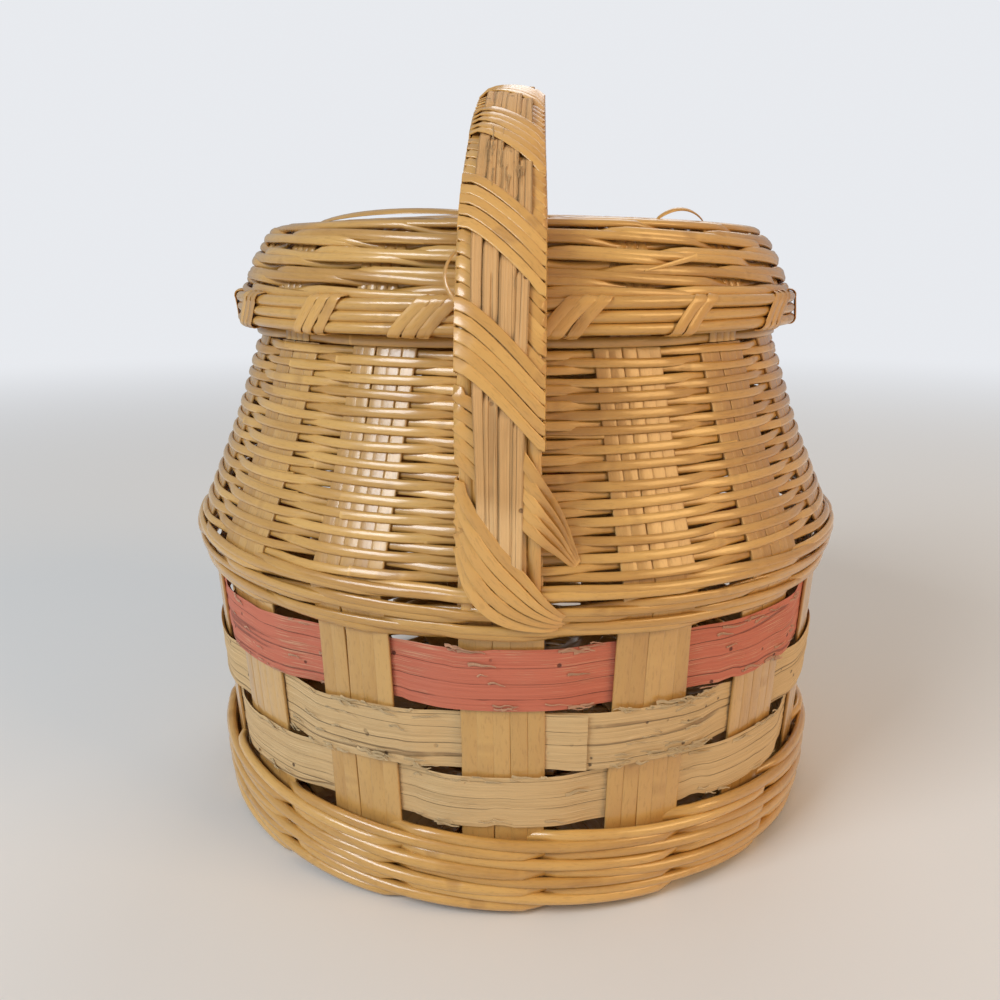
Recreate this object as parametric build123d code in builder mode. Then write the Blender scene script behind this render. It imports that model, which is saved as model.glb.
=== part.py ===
"""Lidded wicker creel with a fixed bow handle.

Millimetres, +Z up, origin on the floor under the middle of the basket. The bow
stands in the YZ plane. The lid is one piece, rests on the mouth, and leaves
sideways along +X under the bow.
"""
from build123d import *
from math import atan2, ceil, cos, degrees, radians, sin
import os

# ---- clearance ------------------------------------------------------------
gap = 0.3                       # space left between neighbouring pieces

# ---- stakes: flat bundles of split cane that everything is woven round ------
stake_count = 16
stake_width = 34.0              # across one stake at the splints
stake_thickness = 1.5
stake_foot_radius = 62.0        # where the stakes end on top of the base
stake_bend = 9.0                # bend from the base up into the wall

# ---- main sizes ------------------------------------------------------------------
belly_radius = 172.5            # the widest place of the wall
mouth_height = 244.7

# ---- outside of the wall: radii hang on the belly, heights on the mouth ---------------
base_tuck = 13.0                # how far each place lies inside the belly
foot_tuck = 7.7
waist_tuck = 2.7
shoulder_tuck = 5.5
slope_tuck = 21.7
mouth_tuck = 36.9
neck_length = 43.7              # from the mouth down to the middle of the slope
slope_length = 38.0
shoulder_length = 13.0
belly_length = 18.0
base_radius = belly_radius - base_tuck
foot_radius = belly_radius - foot_tuck
waist_radius = belly_radius - waist_tuck
shoulder_radius = belly_radius - shoulder_tuck
slope_radius = belly_radius - slope_tuck
mouth_radius = belly_radius - mouth_tuck
foot_height = 43.0
slope_height = mouth_height - neck_length
shoulder_height = slope_height - slope_length
belly_height = shoulder_height - shoulder_length
waist_height = belly_height - belly_length
base_flare = 0.45               # outward lean of the wall at the floor
wall_thickness = 4.4            # of the rows of cane, which lie outside the stakes here
row_relief = 0.8                # how deep the dip between two rows of cane is
curve_step = 7.0                # largest height between two points of a curve up the wall

# ---- wide splints, which share the wall between the foot and the waist ------------------
splint_thickness = 1.2
splint_margin = 1.0             # gap in height between two splints
waist_margin = 2.4              # from the dyed splint up to the waist rows
splint_room = waist_height - foot_height - 3 * splint_margin - waist_margin
splint_shares = (0.311, 0.335, 0.354)   # of that room: lower, middle, dyed

# ---- base ---------------------------------------------------------------------
base_thickness = 4.0
hub_radius = 58.0               # plaited middle of the base
hub_thickness = 2.6

# ---- rows of cane in each woven zone ----------------------------------------------
foot_rows = 6
waist_rows = 5
upper_rows = 26
slit_rows = (5, 11, 17, 23)     # shoulder rows that leave a slit between two stakes
slit_width = 9.0

# ---- hoop inside the mouth -----------------------------------------------------------
mouth_hoop_thickness = 5.2
mouth_hoop_drop = 6.0           # from the mouth down to the middle of the hoop

# ---- handle ------------------------------------------------------------------------------
bow_width = 33.0
bow_thickness = 1.6
bow_inset = 1.7                 # from the belly in to the middle of a leg
bow_reach = belly_radius - bow_inset
bow_leg_tuck = 3.5
bow_leg_foot = belly_height - bow_leg_tuck      # where the legs end in the waist weave
bow_leg_straight = 69.5         # from there up to where the legs start to bend over
bow_spring_height = bow_leg_foot + bow_leg_straight
bow_rise = 145.0                # from there to the top of the bow
core_width = 30.0
core_thickness = 2.6
core_lift = 25.5                # ends of the core and the leader, above the bow's own
core_foot = bow_leg_foot + core_lift
leader_width = 22.0
leader_thickness = 1.5
leader_lift = 19.5
leader_foot = bow_leg_foot + leader_lift
wrap_thickness = 0.9
wrap_tilt = 27.0                # slope of the wraps across the handle
leg_wrap_drop = 26.0            # middle of the wraps on a leg, below its bend
leg_wrap_length = 30.0
arch_wrap_angles = (14.0, 37.0, 60.0, 81.0)     # middles on the arch, up from its spring
arch_wrap_length = 23.0

# ---- lid ---------------------------------------------------------------------------------------
lid_rod_thickness = 6.2
lid_rod_count = 3
lid_overhang = 9.4              # of the rods past the mouth
lid_rim_radius = mouth_radius + lid_overhang
lid_skirt_thickness = 6.0       # the lid's wall behind the rods
lid_wall_tuck = 2.7             # how far each place of the lid lies inside the rods
lid_shoulder_tuck = 15.5
lid_top_tuck = 24.0
lid_wall_radius = lid_rim_radius - lid_wall_tuck
lid_shoulder_radius = lid_rim_radius - lid_shoulder_tuck
lid_shoulder_height = 47.0      # above the lid's seat
lid_top_radius = lid_rim_radius - lid_top_tuck  # where the flat top starts
lid_top_height = 51.5
lid_crown = 6.0                 # rise from there to the middle of the top
lid_top_thickness = 5.0
lid_rows = 7
lid_top_rows = 6
lid_stake_width = 20.0
lid_stake_thickness = 1.2
lid_stake_end = 34.0
lid_hub_radius = 33.0
lashing_thickness = 0.9
lashing_width = 15.0
lashing_count = 16

os.makedirs("parts", exist_ok=True)


def publish(part, name):
    """Label a finished piece and write it."""
    part.label = name
    export_step(part, f"parts/{name}.step")


def blend_between(height, knots):
    """Radius at a height on the smooth curve through knots of height, radius, slope."""
    for (z0, r0, m0), (z1, r1, m1) in zip(knots, knots[1:]):
        if height <= z1 or z1 == knots[-1][0]:
            span = z1 - z0
            t = (height - z0) / span
            rise = t * t * (3 - 2 * t)
            start = t * (1 - t) ** 2 * span * m0
            end = t * t * (t - 1) * span * m1
            return r0 + (r1 - r0) * rise + start + end
    raise ValueError("height is outside the curve")


upper_slope = (mouth_radius - slope_radius) / (mouth_height - slope_height)
band_slope = (waist_radius - foot_radius) / (waist_height - foot_height)
shoulder_slope = (slope_radius - shoulder_radius) / (slope_height - shoulder_height)
wall_knots = (
    (0, base_radius, base_flare),
    (foot_height, foot_radius, band_slope),
    (waist_height, waist_radius, band_slope),
    (belly_height, belly_radius, 0),
    (shoulder_height, shoulder_radius, shoulder_slope),
    (slope_height, slope_radius, (shoulder_slope + upper_slope) / 2),
    (mouth_height, mouth_radius, upper_slope),
)
stake_depth = wall_thickness + gap + stake_thickness / 2
stake_pitch = 360 / stake_count
stake_arc = degrees(stake_width / foot_radius)


def wall_radius(height):
    """Outside of the wall."""
    return blend_between(height, wall_knots)


def wall_lean(height):
    """Degrees by which the wall leans outward at a height."""
    outward = wall_radius(height + gap) - wall_radius(height - gap)
    return degrees(atan2(outward, 2 * gap))


def stake_radius(height):
    """Middle of the stakes, which run just inside the rows."""
    return wall_radius(height) - stake_depth


def radial_plane(angle):
    """Plane through the axis, its x pointing out at this angle and its y up."""
    a = radians(angle)
    return Plane(origin=(0, 0, 0), x_dir=(cos(a), sin(a), 0), z_dir=(sin(a), -cos(a), 0))


def even_steps(start, end, count):
    """count + 1 values from start to end."""
    return [start + (end - start) * i / count for i in range(count + 1)]


def wall_line(bottom, top, inset):
    """Points up the wall between two heights, this far inside its outside."""
    count = ceil((top - bottom) / curve_step)
    return [(wall_radius(z) - inset, z) for z in even_steps(bottom, top, count)]


def front_angle(index):
    """Direction of a stake, counted from the front one."""
    return -90 + index * stake_pitch


# ---- base ------------------------------------------------------------------------
base_edge = base_radius - wall_thickness - gap
with BuildPart() as base_mat:
    with BuildSketch(Plane.XY):
        Circle(base_edge)
    extrude(amount=base_thickness)
    fillet(base_mat.edges().group_by(Axis.Z)[-1], radius=base_thickness / 4)
publish(base_mat.part, "base_mat")

hub_bottom = base_thickness + gap
with BuildPart() as base_hub:
    with BuildSketch(Plane.XY.offset(hub_bottom)):
        Circle(hub_radius)
    extrude(amount=hub_thickness)
    fillet(base_hub.edges().group_by(Axis.Z)[-1], radius=hub_thickness / 3)
publish(base_hub.part, "base_hub")


# ---- stakes ------------------------------------------------------------------------
stake_floor = base_thickness + gap + stake_thickness / 2
bend_turn = 90 - wall_lean(stake_floor + stake_bend / 2)
bend_rise = stake_bend * (1 - cos(radians(bend_turn)))
rise_start = stake_floor + bend_rise
bend_start = stake_radius(rise_start) - stake_bend * sin(radians(bend_turn))


with BuildPart() as front_stake:
    with BuildSketch(radial_plane(-90 - stake_arc / 2)):
        with BuildLine():
            for side in (stake_thickness / 2, -stake_thickness / 2):
                low = (bend_start, stake_floor - side)
                Line((stake_foot_radius, stake_floor - side), low)
                bend = JernArc(start=low, tangent=(1, 0), radius=stake_bend + side, arc_size=bend_turn)
                flare = wall_line(rise_start, foot_height, stake_depth - side)
                flare[0] = bend @ 1
                slope = wall_line(waist_height, mouth_height, stake_depth - side)
                Spline(*flare, tangents=[bend % 1, (band_slope, 1)])
                Line(flare[-1], slope[0])
                Spline(*slope, tangents=[(band_slope, 1), (upper_slope, 1)])
            Line(
                (stake_foot_radius, stake_floor - stake_thickness / 2),
                (stake_foot_radius, stake_floor + stake_thickness / 2),
            )
            Line(
                (stake_radius(mouth_height) - stake_thickness / 2, mouth_height),
                (stake_radius(mouth_height) + stake_thickness / 2, mouth_height),
            )
        make_face()
    revolve(axis=Axis.Z, revolution_arc=stake_arc)


def around(part, index, pitch):
    """A copy turned about the basket's axis."""
    return part.rotate(Axis.Z, index * pitch)


for index in range(stake_count):
    publish(around(front_stake.part, index, stake_pitch), f"stake_{index + 1:02d}")


# ---- handle ----------------------------------------------------------------------------
def bow_solid(inset, thickness, width, foot):
    """A strip bent into the bow, its middle this far inside the bow's own middle."""
    reach = bow_reach - inset
    rise = bow_rise - inset
    half = thickness / 2
    with BuildPart() as made:
        with BuildSketch(Plane.YZ):
            with BuildLine():
                for side in (half, -half):
                    leg = reach + side
                    EllipticalCenterArc(
                        (0, bow_spring_height), leg, rise + side,
                        start_angle=0, arc_size=180,
                    )
                    Line((leg, foot), (leg, bow_spring_height))
                    Line((-leg, foot), (-leg, bow_spring_height))
                Line((reach - half, foot), (reach + half, foot))
                Line((-reach - half, foot), (-reach + half, foot))
            make_face()
        extrude(amount=width / 2, both=True)
    return made.part


core_inset = (bow_thickness + core_thickness) / 2 + gap
leader_inset = -(bow_thickness + leader_thickness) / 2 - gap
stack_inner = core_inset + core_thickness / 2 + gap
stack_outer = -leader_inset + leader_thickness / 2 + gap
stack_middle = (stack_inner - stack_outer) / 2
stack_thickness = stack_inner + stack_outer

publish(bow_solid(0, bow_thickness, bow_width, bow_leg_foot), "handle_bow")
publish(bow_solid(core_inset, core_thickness, core_width, core_foot), "handle_core")
publish(bow_solid(leader_inset, leader_thickness, leader_width, leader_foot), "handle_leader")

sleeve_room = bow_solid(stack_middle, stack_thickness, bow_width + 2 * gap, 0)
sleeve = bow_solid(
    stack_middle,
    stack_thickness + 2 * wrap_thickness,
    bow_width + 2 * (gap + wrap_thickness),
    bow_leg_foot,
)
sleeve = sleeve - sleeve_room
middle_reach = bow_reach - stack_middle
middle_rise = bow_rise - stack_middle


def wrap_plane(side, angle, drop=0):
    """Plane across one side of the handle, tilted as the wraps are."""
    a = radians(angle)
    tilt = radians(wrap_tilt)
    middle = (0, side * middle_reach * cos(a), bow_spring_height + middle_rise * sin(a) - drop)
    along = Vector(0, middle_reach * sin(a), -side * middle_rise * cos(a)).normalized()
    across = Vector(1, 0, 0)
    return Plane(
        origin=middle,
        x_dir=across * cos(tilt) - along * sin(tilt),
        z_dir=along * cos(tilt) + across * sin(tilt),
    )


def wrap_solid(plane, length):
    """The wraps that lie side by side on the handle about a plane."""
    with BuildPart() as slab:
        with BuildSketch(plane.offset(-length / 2)):
            Rectangle(2 * bow_width, 3 * stack_thickness)
        extrude(amount=length)
    return sleeve & slab.part


wraps = []
for side in (-1, 1):
    wraps.append(wrap_solid(wrap_plane(side, 0, leg_wrap_drop), leg_wrap_length))
    for angle in arch_wrap_angles:
        wraps.append(wrap_solid(wrap_plane(side, angle), arch_wrap_length))
publish(Compound(children=[wrap.solid() for wrap in wraps]), "handle_wraps")


# ---- woven zones of the wall ---------------------------------------------------------------
notch_depth = bow_reach - bow_thickness / 2 - gap
with BuildPart() as leg_room:
    for side in (-1, 1):
        with BuildSketch(Plane.XY.offset(bow_leg_foot - gap)):
            with Locations((0, side * (notch_depth + belly_radius / 2))):
                Rectangle(bow_width + 2 * gap, belly_radius)
        extrude(amount=bow_spring_height - bow_leg_foot)


def zone_solid(bottom, top, rows):
    """A ring of woven rows between two heights, notched where the bow's legs lie in it."""
    edges = even_steps(bottom, top, rows)
    inside = wall_line(bottom, top, wall_thickness)
    with BuildPart() as ring:
        with BuildSketch(Plane.XZ):
            with BuildLine():
                for low, high in zip(edges, edges[1:]):
                    middle = (low + high) / 2
                    ThreePointArc(
                        (wall_radius(low) - row_relief, low),
                        (wall_radius(middle), middle),
                        (wall_radius(high) - row_relief, high),
                    )
                Spline(*inside)
                Line((wall_radius(bottom) - row_relief, bottom), inside[0])
                Line((wall_radius(top) - row_relief, top), inside[-1])
            make_face()
        revolve(axis=Axis.Z)
    return ring.part - leg_room.part


upper_start = (belly_height + shoulder_height) / 2
publish(zone_solid(0, foot_height, foot_rows), "foot_weave")
publish(zone_solid(waist_height + gap, upper_start - gap, waist_rows), "waist_weave")
shoulder = zone_solid(upper_start, mouth_height, upper_rows)
row_height = (mouth_height - upper_start) / upper_rows
slit_height = row_height - 2 * gap
with BuildPart() as slits:
    for row in slit_rows:
        middle = upper_start + (row + 0.5) * row_height
        for index in range(stake_count):
            a = radians(front_angle(index + 0.5))
            reach = wall_radius(middle)
            with Locations(Location((reach * cos(a), reach * sin(a), middle), (0, 0, degrees(a)))):
                Box(4 * wall_thickness, slit_width, slit_height)
publish(shoulder - slits.part, "upper_weave")


# ---- wide splints, over one stake and under the next -----------------------------------------
weave_swing = (stake_thickness + splint_thickness) / 2 + 1.5 * gap


def splint_outline(height, offset, over_front):
    """Closed wavy line of one face of a splint, at one height."""
    points = []
    for index in range(stake_count):
        out = 1 if (index % 2 == 0) == over_front else -1
        for turn, swing in (
            (-stake_pitch / 2, 0), (-stake_arc / 2, out), (0, out), (stake_arc / 2, out),
        ):
            a = radians(front_angle(index) + turn)
            r = stake_radius(height) + swing * weave_swing + offset
            points.append((r * cos(a), r * sin(a)))
    with BuildSketch(Plane.XY.offset(height)) as outline:
        with BuildLine():
            Spline(*points, periodic=True)
        make_face()
    return outline.sketch


def splint_solid(bottom, height, over_front):
    """One wide splint round the basket."""
    with BuildPart() as ring:
        for offset, mode in ((splint_thickness / 2, Mode.ADD), (-splint_thickness / 2, Mode.SUBTRACT)):
            low = splint_outline(bottom, offset, over_front)
            high = splint_outline(bottom + height, offset, over_front)
            loft(sections=[low, high], ruled=True, mode=mode)
    return ring.part


splint_bottom = foot_height + splint_margin
for name, share, over_front in zip(
    ("splint_lower", "splint_middle", "splint_dyed"), splint_shares, (True, False, True)
):
    height = share * splint_room
    publish(splint_solid(splint_bottom, height, over_front), name)
    splint_bottom += height + splint_margin


# ---- hoop inside the mouth --------------------------------------------------------------------
hoop_half = mouth_hoop_thickness / 2
hoop_height = mouth_height - mouth_hoop_drop
hoop_radius = stake_radius(hoop_height + hoop_half) - stake_thickness / 2 - gap - hoop_half
with BuildPart() as mouth_hoop:
    with BuildSketch(Plane.XZ):
        with Locations((hoop_radius, hoop_height)):
            Circle(hoop_half)
    revolve(axis=Axis.Z)
publish(mouth_hoop.part, "mouth_hoop")


# ---- lid rim: three stacked rods in lashings ------------------------------------------------------
lid_seat = mouth_height + gap
rod_half = lid_rod_thickness / 2
rod_ring = lid_rim_radius - rod_half
rod_pitch = lid_rod_thickness + gap
first_rod = lid_seat + lashing_thickness + gap + rod_half
for index in range(lid_rod_count):
    with BuildPart() as rod:
        with BuildSketch(Plane.XZ):
            with Locations((rod_ring, first_rod + index * rod_pitch)):
                Circle(rod_half)
        revolve(axis=Axis.Z)
    publish(rod.part, f"lid_rim_rod_{index + 1}")

bundle_middle = first_rod + (lid_rod_count - 1) * rod_pitch / 2
room_height = lid_rod_thickness + (lid_rod_count - 1) * rod_pitch + 2 * gap
room_width = lid_rod_thickness + 2 * gap
lashing_arc = degrees(lashing_width / lid_rim_radius)
lashing_pitch = 360 / lashing_count
with BuildPart() as lashing:
    with BuildSketch(radial_plane(-90 - lashing_arc / 2)):
        with Locations((rod_ring, bundle_middle)):
            SlotOverall(
                room_height + 2 * lashing_thickness, room_width + 2 * lashing_thickness,
                rotation=90,
            )
            SlotOverall(room_height, room_width, rotation=90, mode=Mode.SUBTRACT)
    revolve(axis=Axis.Z, revolution_arc=lashing_arc)
lashings = [around(lashing.part, index + 0.5, lashing_pitch) for index in range(lashing_count)]
publish(Compound(children=[one.solid() for one in lashings]), "lid_rim_lashings")

# ---- lid wall and top --------------------------------------------------------------------------------
skirt_top = bundle_middle + room_height / 2 + lashing_thickness + gap
skirt_outside = rod_ring - room_width / 2 - lashing_thickness - gap
skirt_inside = skirt_outside - lid_skirt_thickness
wall_top = lid_seat + lid_shoulder_height
top_edge_height = lid_seat + lid_top_height
under_edge_height = top_edge_height - lid_top_thickness
with BuildPart() as lid_wall_weave:
    with BuildSketch(Plane.XZ):
        with BuildLine():
            lean = (lid_shoulder_radius - lid_wall_radius) / (wall_top - skirt_top)
            levels = even_steps(skirt_top, wall_top, lid_rows - 1)
            row_ends = [(lid_wall_radius + lean * (z - skirt_top), z) for z in levels]
            row_ends.append((lid_top_radius, top_edge_height))
            for (r0, z0), (r1, z1) in zip(row_ends, row_ends[1:]):
                middle = ((r0 + r1) / 2 + row_relief, (z0 + z1) / 2 + row_relief / 2)
                ThreePointArc((r0, z0), middle, (r1, z1))
            Polyline(
                row_ends[-1],
                (lid_top_radius, under_edge_height),
                (skirt_inside, skirt_top),
                (skirt_inside, lid_seat),
                (skirt_outside, lid_seat),
                (skirt_outside, skirt_top),
                row_ends[0],
            )
        make_face()
    revolve(axis=Axis.Z)
publish(lid_wall_weave.part, "lid_wall_weave")

mat_radius = lid_top_radius - gap


def dome_height(radius):
    """Upper face of the lid's top."""
    return top_edge_height + lid_crown * (1 - (radius / mat_radius) ** 2)


with BuildPart() as lid_top_weave:
    with BuildSketch(Plane.XZ):
        with BuildLine():
            ThreePointArc(
                (0, dome_height(0) - lid_top_thickness),
                (mat_radius / 2, dome_height(mat_radius / 2) - lid_top_thickness),
                (mat_radius, under_edge_height),
            )
            ThreePointArc(
                (0, dome_height(0)),
                (lid_hub_radius / 2, dome_height(lid_hub_radius / 2)),
                (lid_hub_radius, dome_height(lid_hub_radius) - row_relief),
            )
            ring_edges = even_steps(lid_hub_radius, mat_radius, lid_top_rows)
            for inner, outer in zip(ring_edges, ring_edges[1:]):
                middle = (inner + outer) / 2
                ThreePointArc(
                    (inner, dome_height(inner) - row_relief),
                    (middle, dome_height(middle)),
                    (outer, dome_height(outer) - row_relief),
                )
            Line((0, dome_height(0) - lid_top_thickness), (0, dome_height(0)))
            Line((mat_radius, under_edge_height), (mat_radius, top_edge_height - row_relief))
        make_face()
    revolve(axis=Axis.Z)
publish(lid_top_weave.part, "lid_top_weave")

# ---- lid stakes, inside the wall and under the top ------------------------------------------------------
lid_stake_arc = degrees(lid_stake_width / lid_shoulder_radius)
knee_radius = lid_top_radius - 2 * gap
knee_drop = gap + lid_stake_thickness / 2
under_end = dome_height(lid_stake_end) - lid_top_thickness - gap
with BuildPart() as lid_stake:
    with BuildSketch(radial_plane(-90 - lid_stake_arc / 2)):
        with BuildLine():
            Polyline(
                (skirt_inside - gap, lid_seat),
                (skirt_inside - gap, skirt_top - gap),
                (knee_radius, under_edge_height - gap),
                (lid_stake_end, under_end),
                (lid_stake_end, under_end - lid_stake_thickness),
                (knee_radius - lid_stake_thickness / 2, under_edge_height - gap - lid_stake_thickness),
                (skirt_inside - gap - lid_stake_thickness, skirt_top - knee_drop),
                (skirt_inside - gap - lid_stake_thickness, lid_seat),
                close=True,
            )
        make_face()
    revolve(axis=Axis.Z, revolution_arc=lid_stake_arc)
for index in range(stake_count):
    publish(around(lid_stake.part, index, stake_pitch), f"lid_stake_{index + 1:02d}")

lid_hub_top = dome_height(lid_hub_radius) - lid_top_thickness - gap
with BuildPart() as lid_hub:
    with BuildSketch(Plane.XY.offset(lid_hub_top)):
        Circle(lid_hub_radius)
    extrude(amount=-hub_thickness)
publish(lid_hub.part, "lid_hub")
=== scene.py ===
"""Wicker creel with a lid and a wrapped bow handle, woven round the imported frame.

Each weaving is gathered from separate canes: a cane is a strip of grid that is laid
along a path and closed round its section. Lengths are metres.
"""
import math
import random

import bmesh
import bpy
from bpy.props import FloatProperty, FloatVectorProperty, IntProperty, PointerProperty
from mathutils import Matrix, Vector, noise


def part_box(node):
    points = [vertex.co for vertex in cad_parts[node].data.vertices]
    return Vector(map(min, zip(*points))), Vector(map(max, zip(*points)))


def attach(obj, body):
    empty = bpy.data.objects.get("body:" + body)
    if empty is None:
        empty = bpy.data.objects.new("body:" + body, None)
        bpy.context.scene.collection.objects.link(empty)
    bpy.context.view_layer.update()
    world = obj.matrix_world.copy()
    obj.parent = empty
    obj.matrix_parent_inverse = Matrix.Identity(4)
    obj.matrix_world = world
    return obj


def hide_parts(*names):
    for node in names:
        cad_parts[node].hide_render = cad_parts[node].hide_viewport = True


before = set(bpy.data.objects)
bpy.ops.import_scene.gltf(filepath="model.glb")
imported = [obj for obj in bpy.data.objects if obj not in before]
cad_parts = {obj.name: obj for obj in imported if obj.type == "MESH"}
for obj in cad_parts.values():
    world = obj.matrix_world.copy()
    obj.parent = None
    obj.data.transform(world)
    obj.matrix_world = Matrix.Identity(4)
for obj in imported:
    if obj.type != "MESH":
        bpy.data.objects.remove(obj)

bl_info = {
    "name": "Wicker creel",
    "version": (1, 0, 0),
    "blender": (4, 5, 0),
    "location": "View3D > Sidebar > Creel",
    "description": "Weaves a lidded cane creel round its packed frame",
    "category": "Object",
}

MM = 0.001
TURN = 2 * math.pi
FRONT = -math.pi / 2

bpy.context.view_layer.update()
FOOT_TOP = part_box("foot_weave")[1].z
WAIST_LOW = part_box("waist_weave")[0].z
WAIST_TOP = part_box("waist_weave")[1].z
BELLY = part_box("waist_weave")[1].x
MOUTH_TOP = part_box("upper_weave")[1].z
LID_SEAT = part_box("lid_wall_weave")[0].z
LID_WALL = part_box("lid_wall_weave")[1].x
LID_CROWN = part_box("lid_top_weave")[1].z
LID_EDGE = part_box("lid_top_weave")[1].x
ROD_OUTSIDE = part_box("lid_rim_rod_1")[1].x
ROD_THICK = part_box("lid_rim_rod_1")[1].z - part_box("lid_rim_rod_1")[0].z
ROD_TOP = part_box("lid_rim_rod_3")[1].z
BOW_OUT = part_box("handle_bow")[1].y
BOW_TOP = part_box("handle_bow")[1].z
BOW_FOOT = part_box("handle_bow")[0].z
STAKES = sum(name.startswith("stake_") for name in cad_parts)
STAKE_TURN = TURN / STAKES


# ---- sizes and colours a user would change --------------------------------------------
def length(label, text, value):
    return FloatProperty(name=label, description=text, default=value, unit="LENGTH", precision=4)


def count(label, text, value):
    return IntProperty(name=label, description=text, default=value, min=1)


def colour(label, text, value):
    return FloatVectorProperty(
        name=label, description=text, default=value, subtype="COLOR", size=3, min=0, max=1
    )


class CreelSizes(bpy.types.PropertyGroup):
    stake_width: length("Stake width", "Across the flat canes of one stake", 34 * MM)
    stake_canes: count("Canes in a stake", "Flat canes side by side in each stake", 5)
    stake_thick: length("Stake thickness", "Thickness of a stake's canes", 1.5 * MM)
    row_wide: length("Row cane width", "Height of one fine row on the shoulder", 4.25 * MM)
    row_thick: length("Row cane thickness", "Thickness of the fine rows", 1.9 * MM)
    rows: count("Shoulder rows", "Fine rows between the waist and the mouth", 26)
    foot_rod: length("Foot rod", "Thickness of the round canes at the foot", 5.0 * MM)
    waist_rod: length("Waist rod", "Height of the canes at the waist", 4.3 * MM)
    splint_thick: length("Splint thickness", "Thickness of the wide splints", 1.2 * MM)
    rim_rod: length("Rim rod", "Thickness of the rods round the lid's rim", 4.9 * MM)
    lid_cane: length("Lid cane", "Height of the canes in the lid's wall", 4.4 * MM)
    strand_wide: length("Strand width", "Width of one strand wound on the handle", 4.15 * MM)
    strand_thick: length("Strand thickness", "Thickness of those strands", 0.8 * MM)
    strands: count("Strands", "Strands wound side by side on the handle", 10)


class CreelColours(bpy.types.PropertyGroup):
    cane: colour("Cane", "Golden split cane", (0.60, 0.35, 0.092))
    stake: colour("Stake", "Flat canes of the stakes", (0.57, 0.342, 0.105))
    splint: colour("Natural splint", "Undyed wide splints", (0.67, 0.462, 0.222))
    coral: colour("Coral splint", "Dyed wide splint", (0.58, 0.165, 0.095))
    leader: colour("Leader", "Rough strips on the handle", (0.70, 0.415, 0.165))
    floor: colour("Floor", "Floor and backdrop", (0.80, 0.80, 0.79))


def sizes():
    return bpy.context.scene.creel_sizes


def colours():
    return bpy.context.scene.creel_colours


# ---- lines that the weaving follows ------------------------------------------------------
FOOT_EDGE = 159.5 * MM          # outside of the wall at the floor
FOOT_LEAN = 0.45                # how much it leans out there
BAND_FOOT = 164.8 * MM          # outside of the wall on top of the foot
BAND_TOP = 169.8 * MM           # ... above the wide splints
BAND_TOP_HEIGHT = 132.0 * MM
BELLY_HEIGHT = 150.0 * MM
SHOULDER = 167.0 * MM           # ... where the shoulder starts to slope
SHOULDER_HEIGHT = 163.0 * MM
SLOPE = 150.8 * MM              # ... half way up the shoulder
SLOPE_HEIGHT = 201.0 * MM
MOUTH = 135.6 * MM              # ... at the mouth

BAND_LEAN = (BAND_TOP - BAND_FOOT) / (BAND_TOP_HEIGHT - FOOT_TOP)
SHOULDER_LEAN = (SLOPE - SHOULDER) / (SLOPE_HEIGHT - SHOULDER_HEIGHT)
NECK_LEAN = (MOUTH - SLOPE) / (MOUTH_TOP - SLOPE_HEIGHT)
WALL = (                        # height, radius and lean
    (0, FOOT_EDGE, FOOT_LEAN),
    (FOOT_TOP, BAND_FOOT, BAND_LEAN),
    (BAND_TOP_HEIGHT, BAND_TOP, BAND_LEAN),
    (BELLY_HEIGHT, BELLY, 0),
    (SHOULDER_HEIGHT, SHOULDER, SHOULDER_LEAN),
    (SLOPE_HEIGHT, SLOPE, (SHOULDER_LEAN + NECK_LEAN) / 2),
    (MOUTH_TOP, MOUTH, NECK_LEAN),
)
BAND_DEPTH = 5.45 * MM          # from the wall's outside in to the stakes, behind the splints
SHOULDER_DEPTH = 2.85 * MM      # ... in the midst of the shoulder rows
DEPTH_CHANGE = (128 * MM, 160 * MM)


def ease(value, low, high):
    """0 below low, 1 above high and a smooth rise between them."""
    t = min(1, max(0, (value - low) / (high - low)))
    return t * t * (3 - 2 * t)


def mix(a, b, t):
    return a + (b - a) * t


def wall_radius(height):
    """Outside of the basket's wall: a smooth curve through the stations of WALL."""
    for (z0, r0, lean0), (z1, r1, lean1) in zip(WALL, WALL[1:]):
        if height <= z1 or z1 == MOUTH_TOP:
            span = z1 - z0
            t = (height - z0) / span
            rise = t * t * (3 - 2 * t)
            return (r0 + (r1 - r0) * rise
                    + t * (1 - t) ** 2 * span * lean0 + t * t * (t - 1) * span * lean1)


def wall_normal(height):
    """Radial and upright parts of the wall's outward direction."""
    lean = (wall_radius(height + MM) - wall_radius(height - MM)) / (2 * MM)
    size = math.hypot(1, lean)
    return 1 / size, -lean / size


def stake_radius(height):
    """Middle of the stakes: just inside the splints, and in the midst of the shoulder rows."""
    return wall_radius(height) - mix(BAND_DEPTH, SHOULDER_DEPTH, ease(height, *DEPTH_CHANGE))


def ring_point(radius, angle, height):
    return Vector((radius * math.cos(angle), radius * math.sin(angle), height))


def facing(angle, out, up):
    """A direction from its radial and upright parts."""
    return Vector((out * math.cos(angle), out * math.sin(angle), up))


def stake_angle(index):
    """Direction of a stake, counted from the front one."""
    return FRONT + index * STAKE_TURN


def over_under(angle, sharpness=1.7):
    """1 over the even stakes, -1 behind the odd ones, level on the stakes."""
    swing = math.cos((angle - FRONT) / STAKE_TURN * math.pi)
    return math.tanh(sharpness * swing) / math.tanh(sharpness)


def drift(seed, along, size):
    """Slow, seeded wander along a cane."""
    return noise.noise(Vector((seed * 7.31, along, seed * 1.7))) * 2 * size


# ---- canes -------------------------------------------------------------------------------
WELD = 1e-7                     # points closer than this are one point
SHARP_EDGE = math.radians(58)
DECIMETRES = 10                 # length along a cane as its pattern counts it


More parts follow.
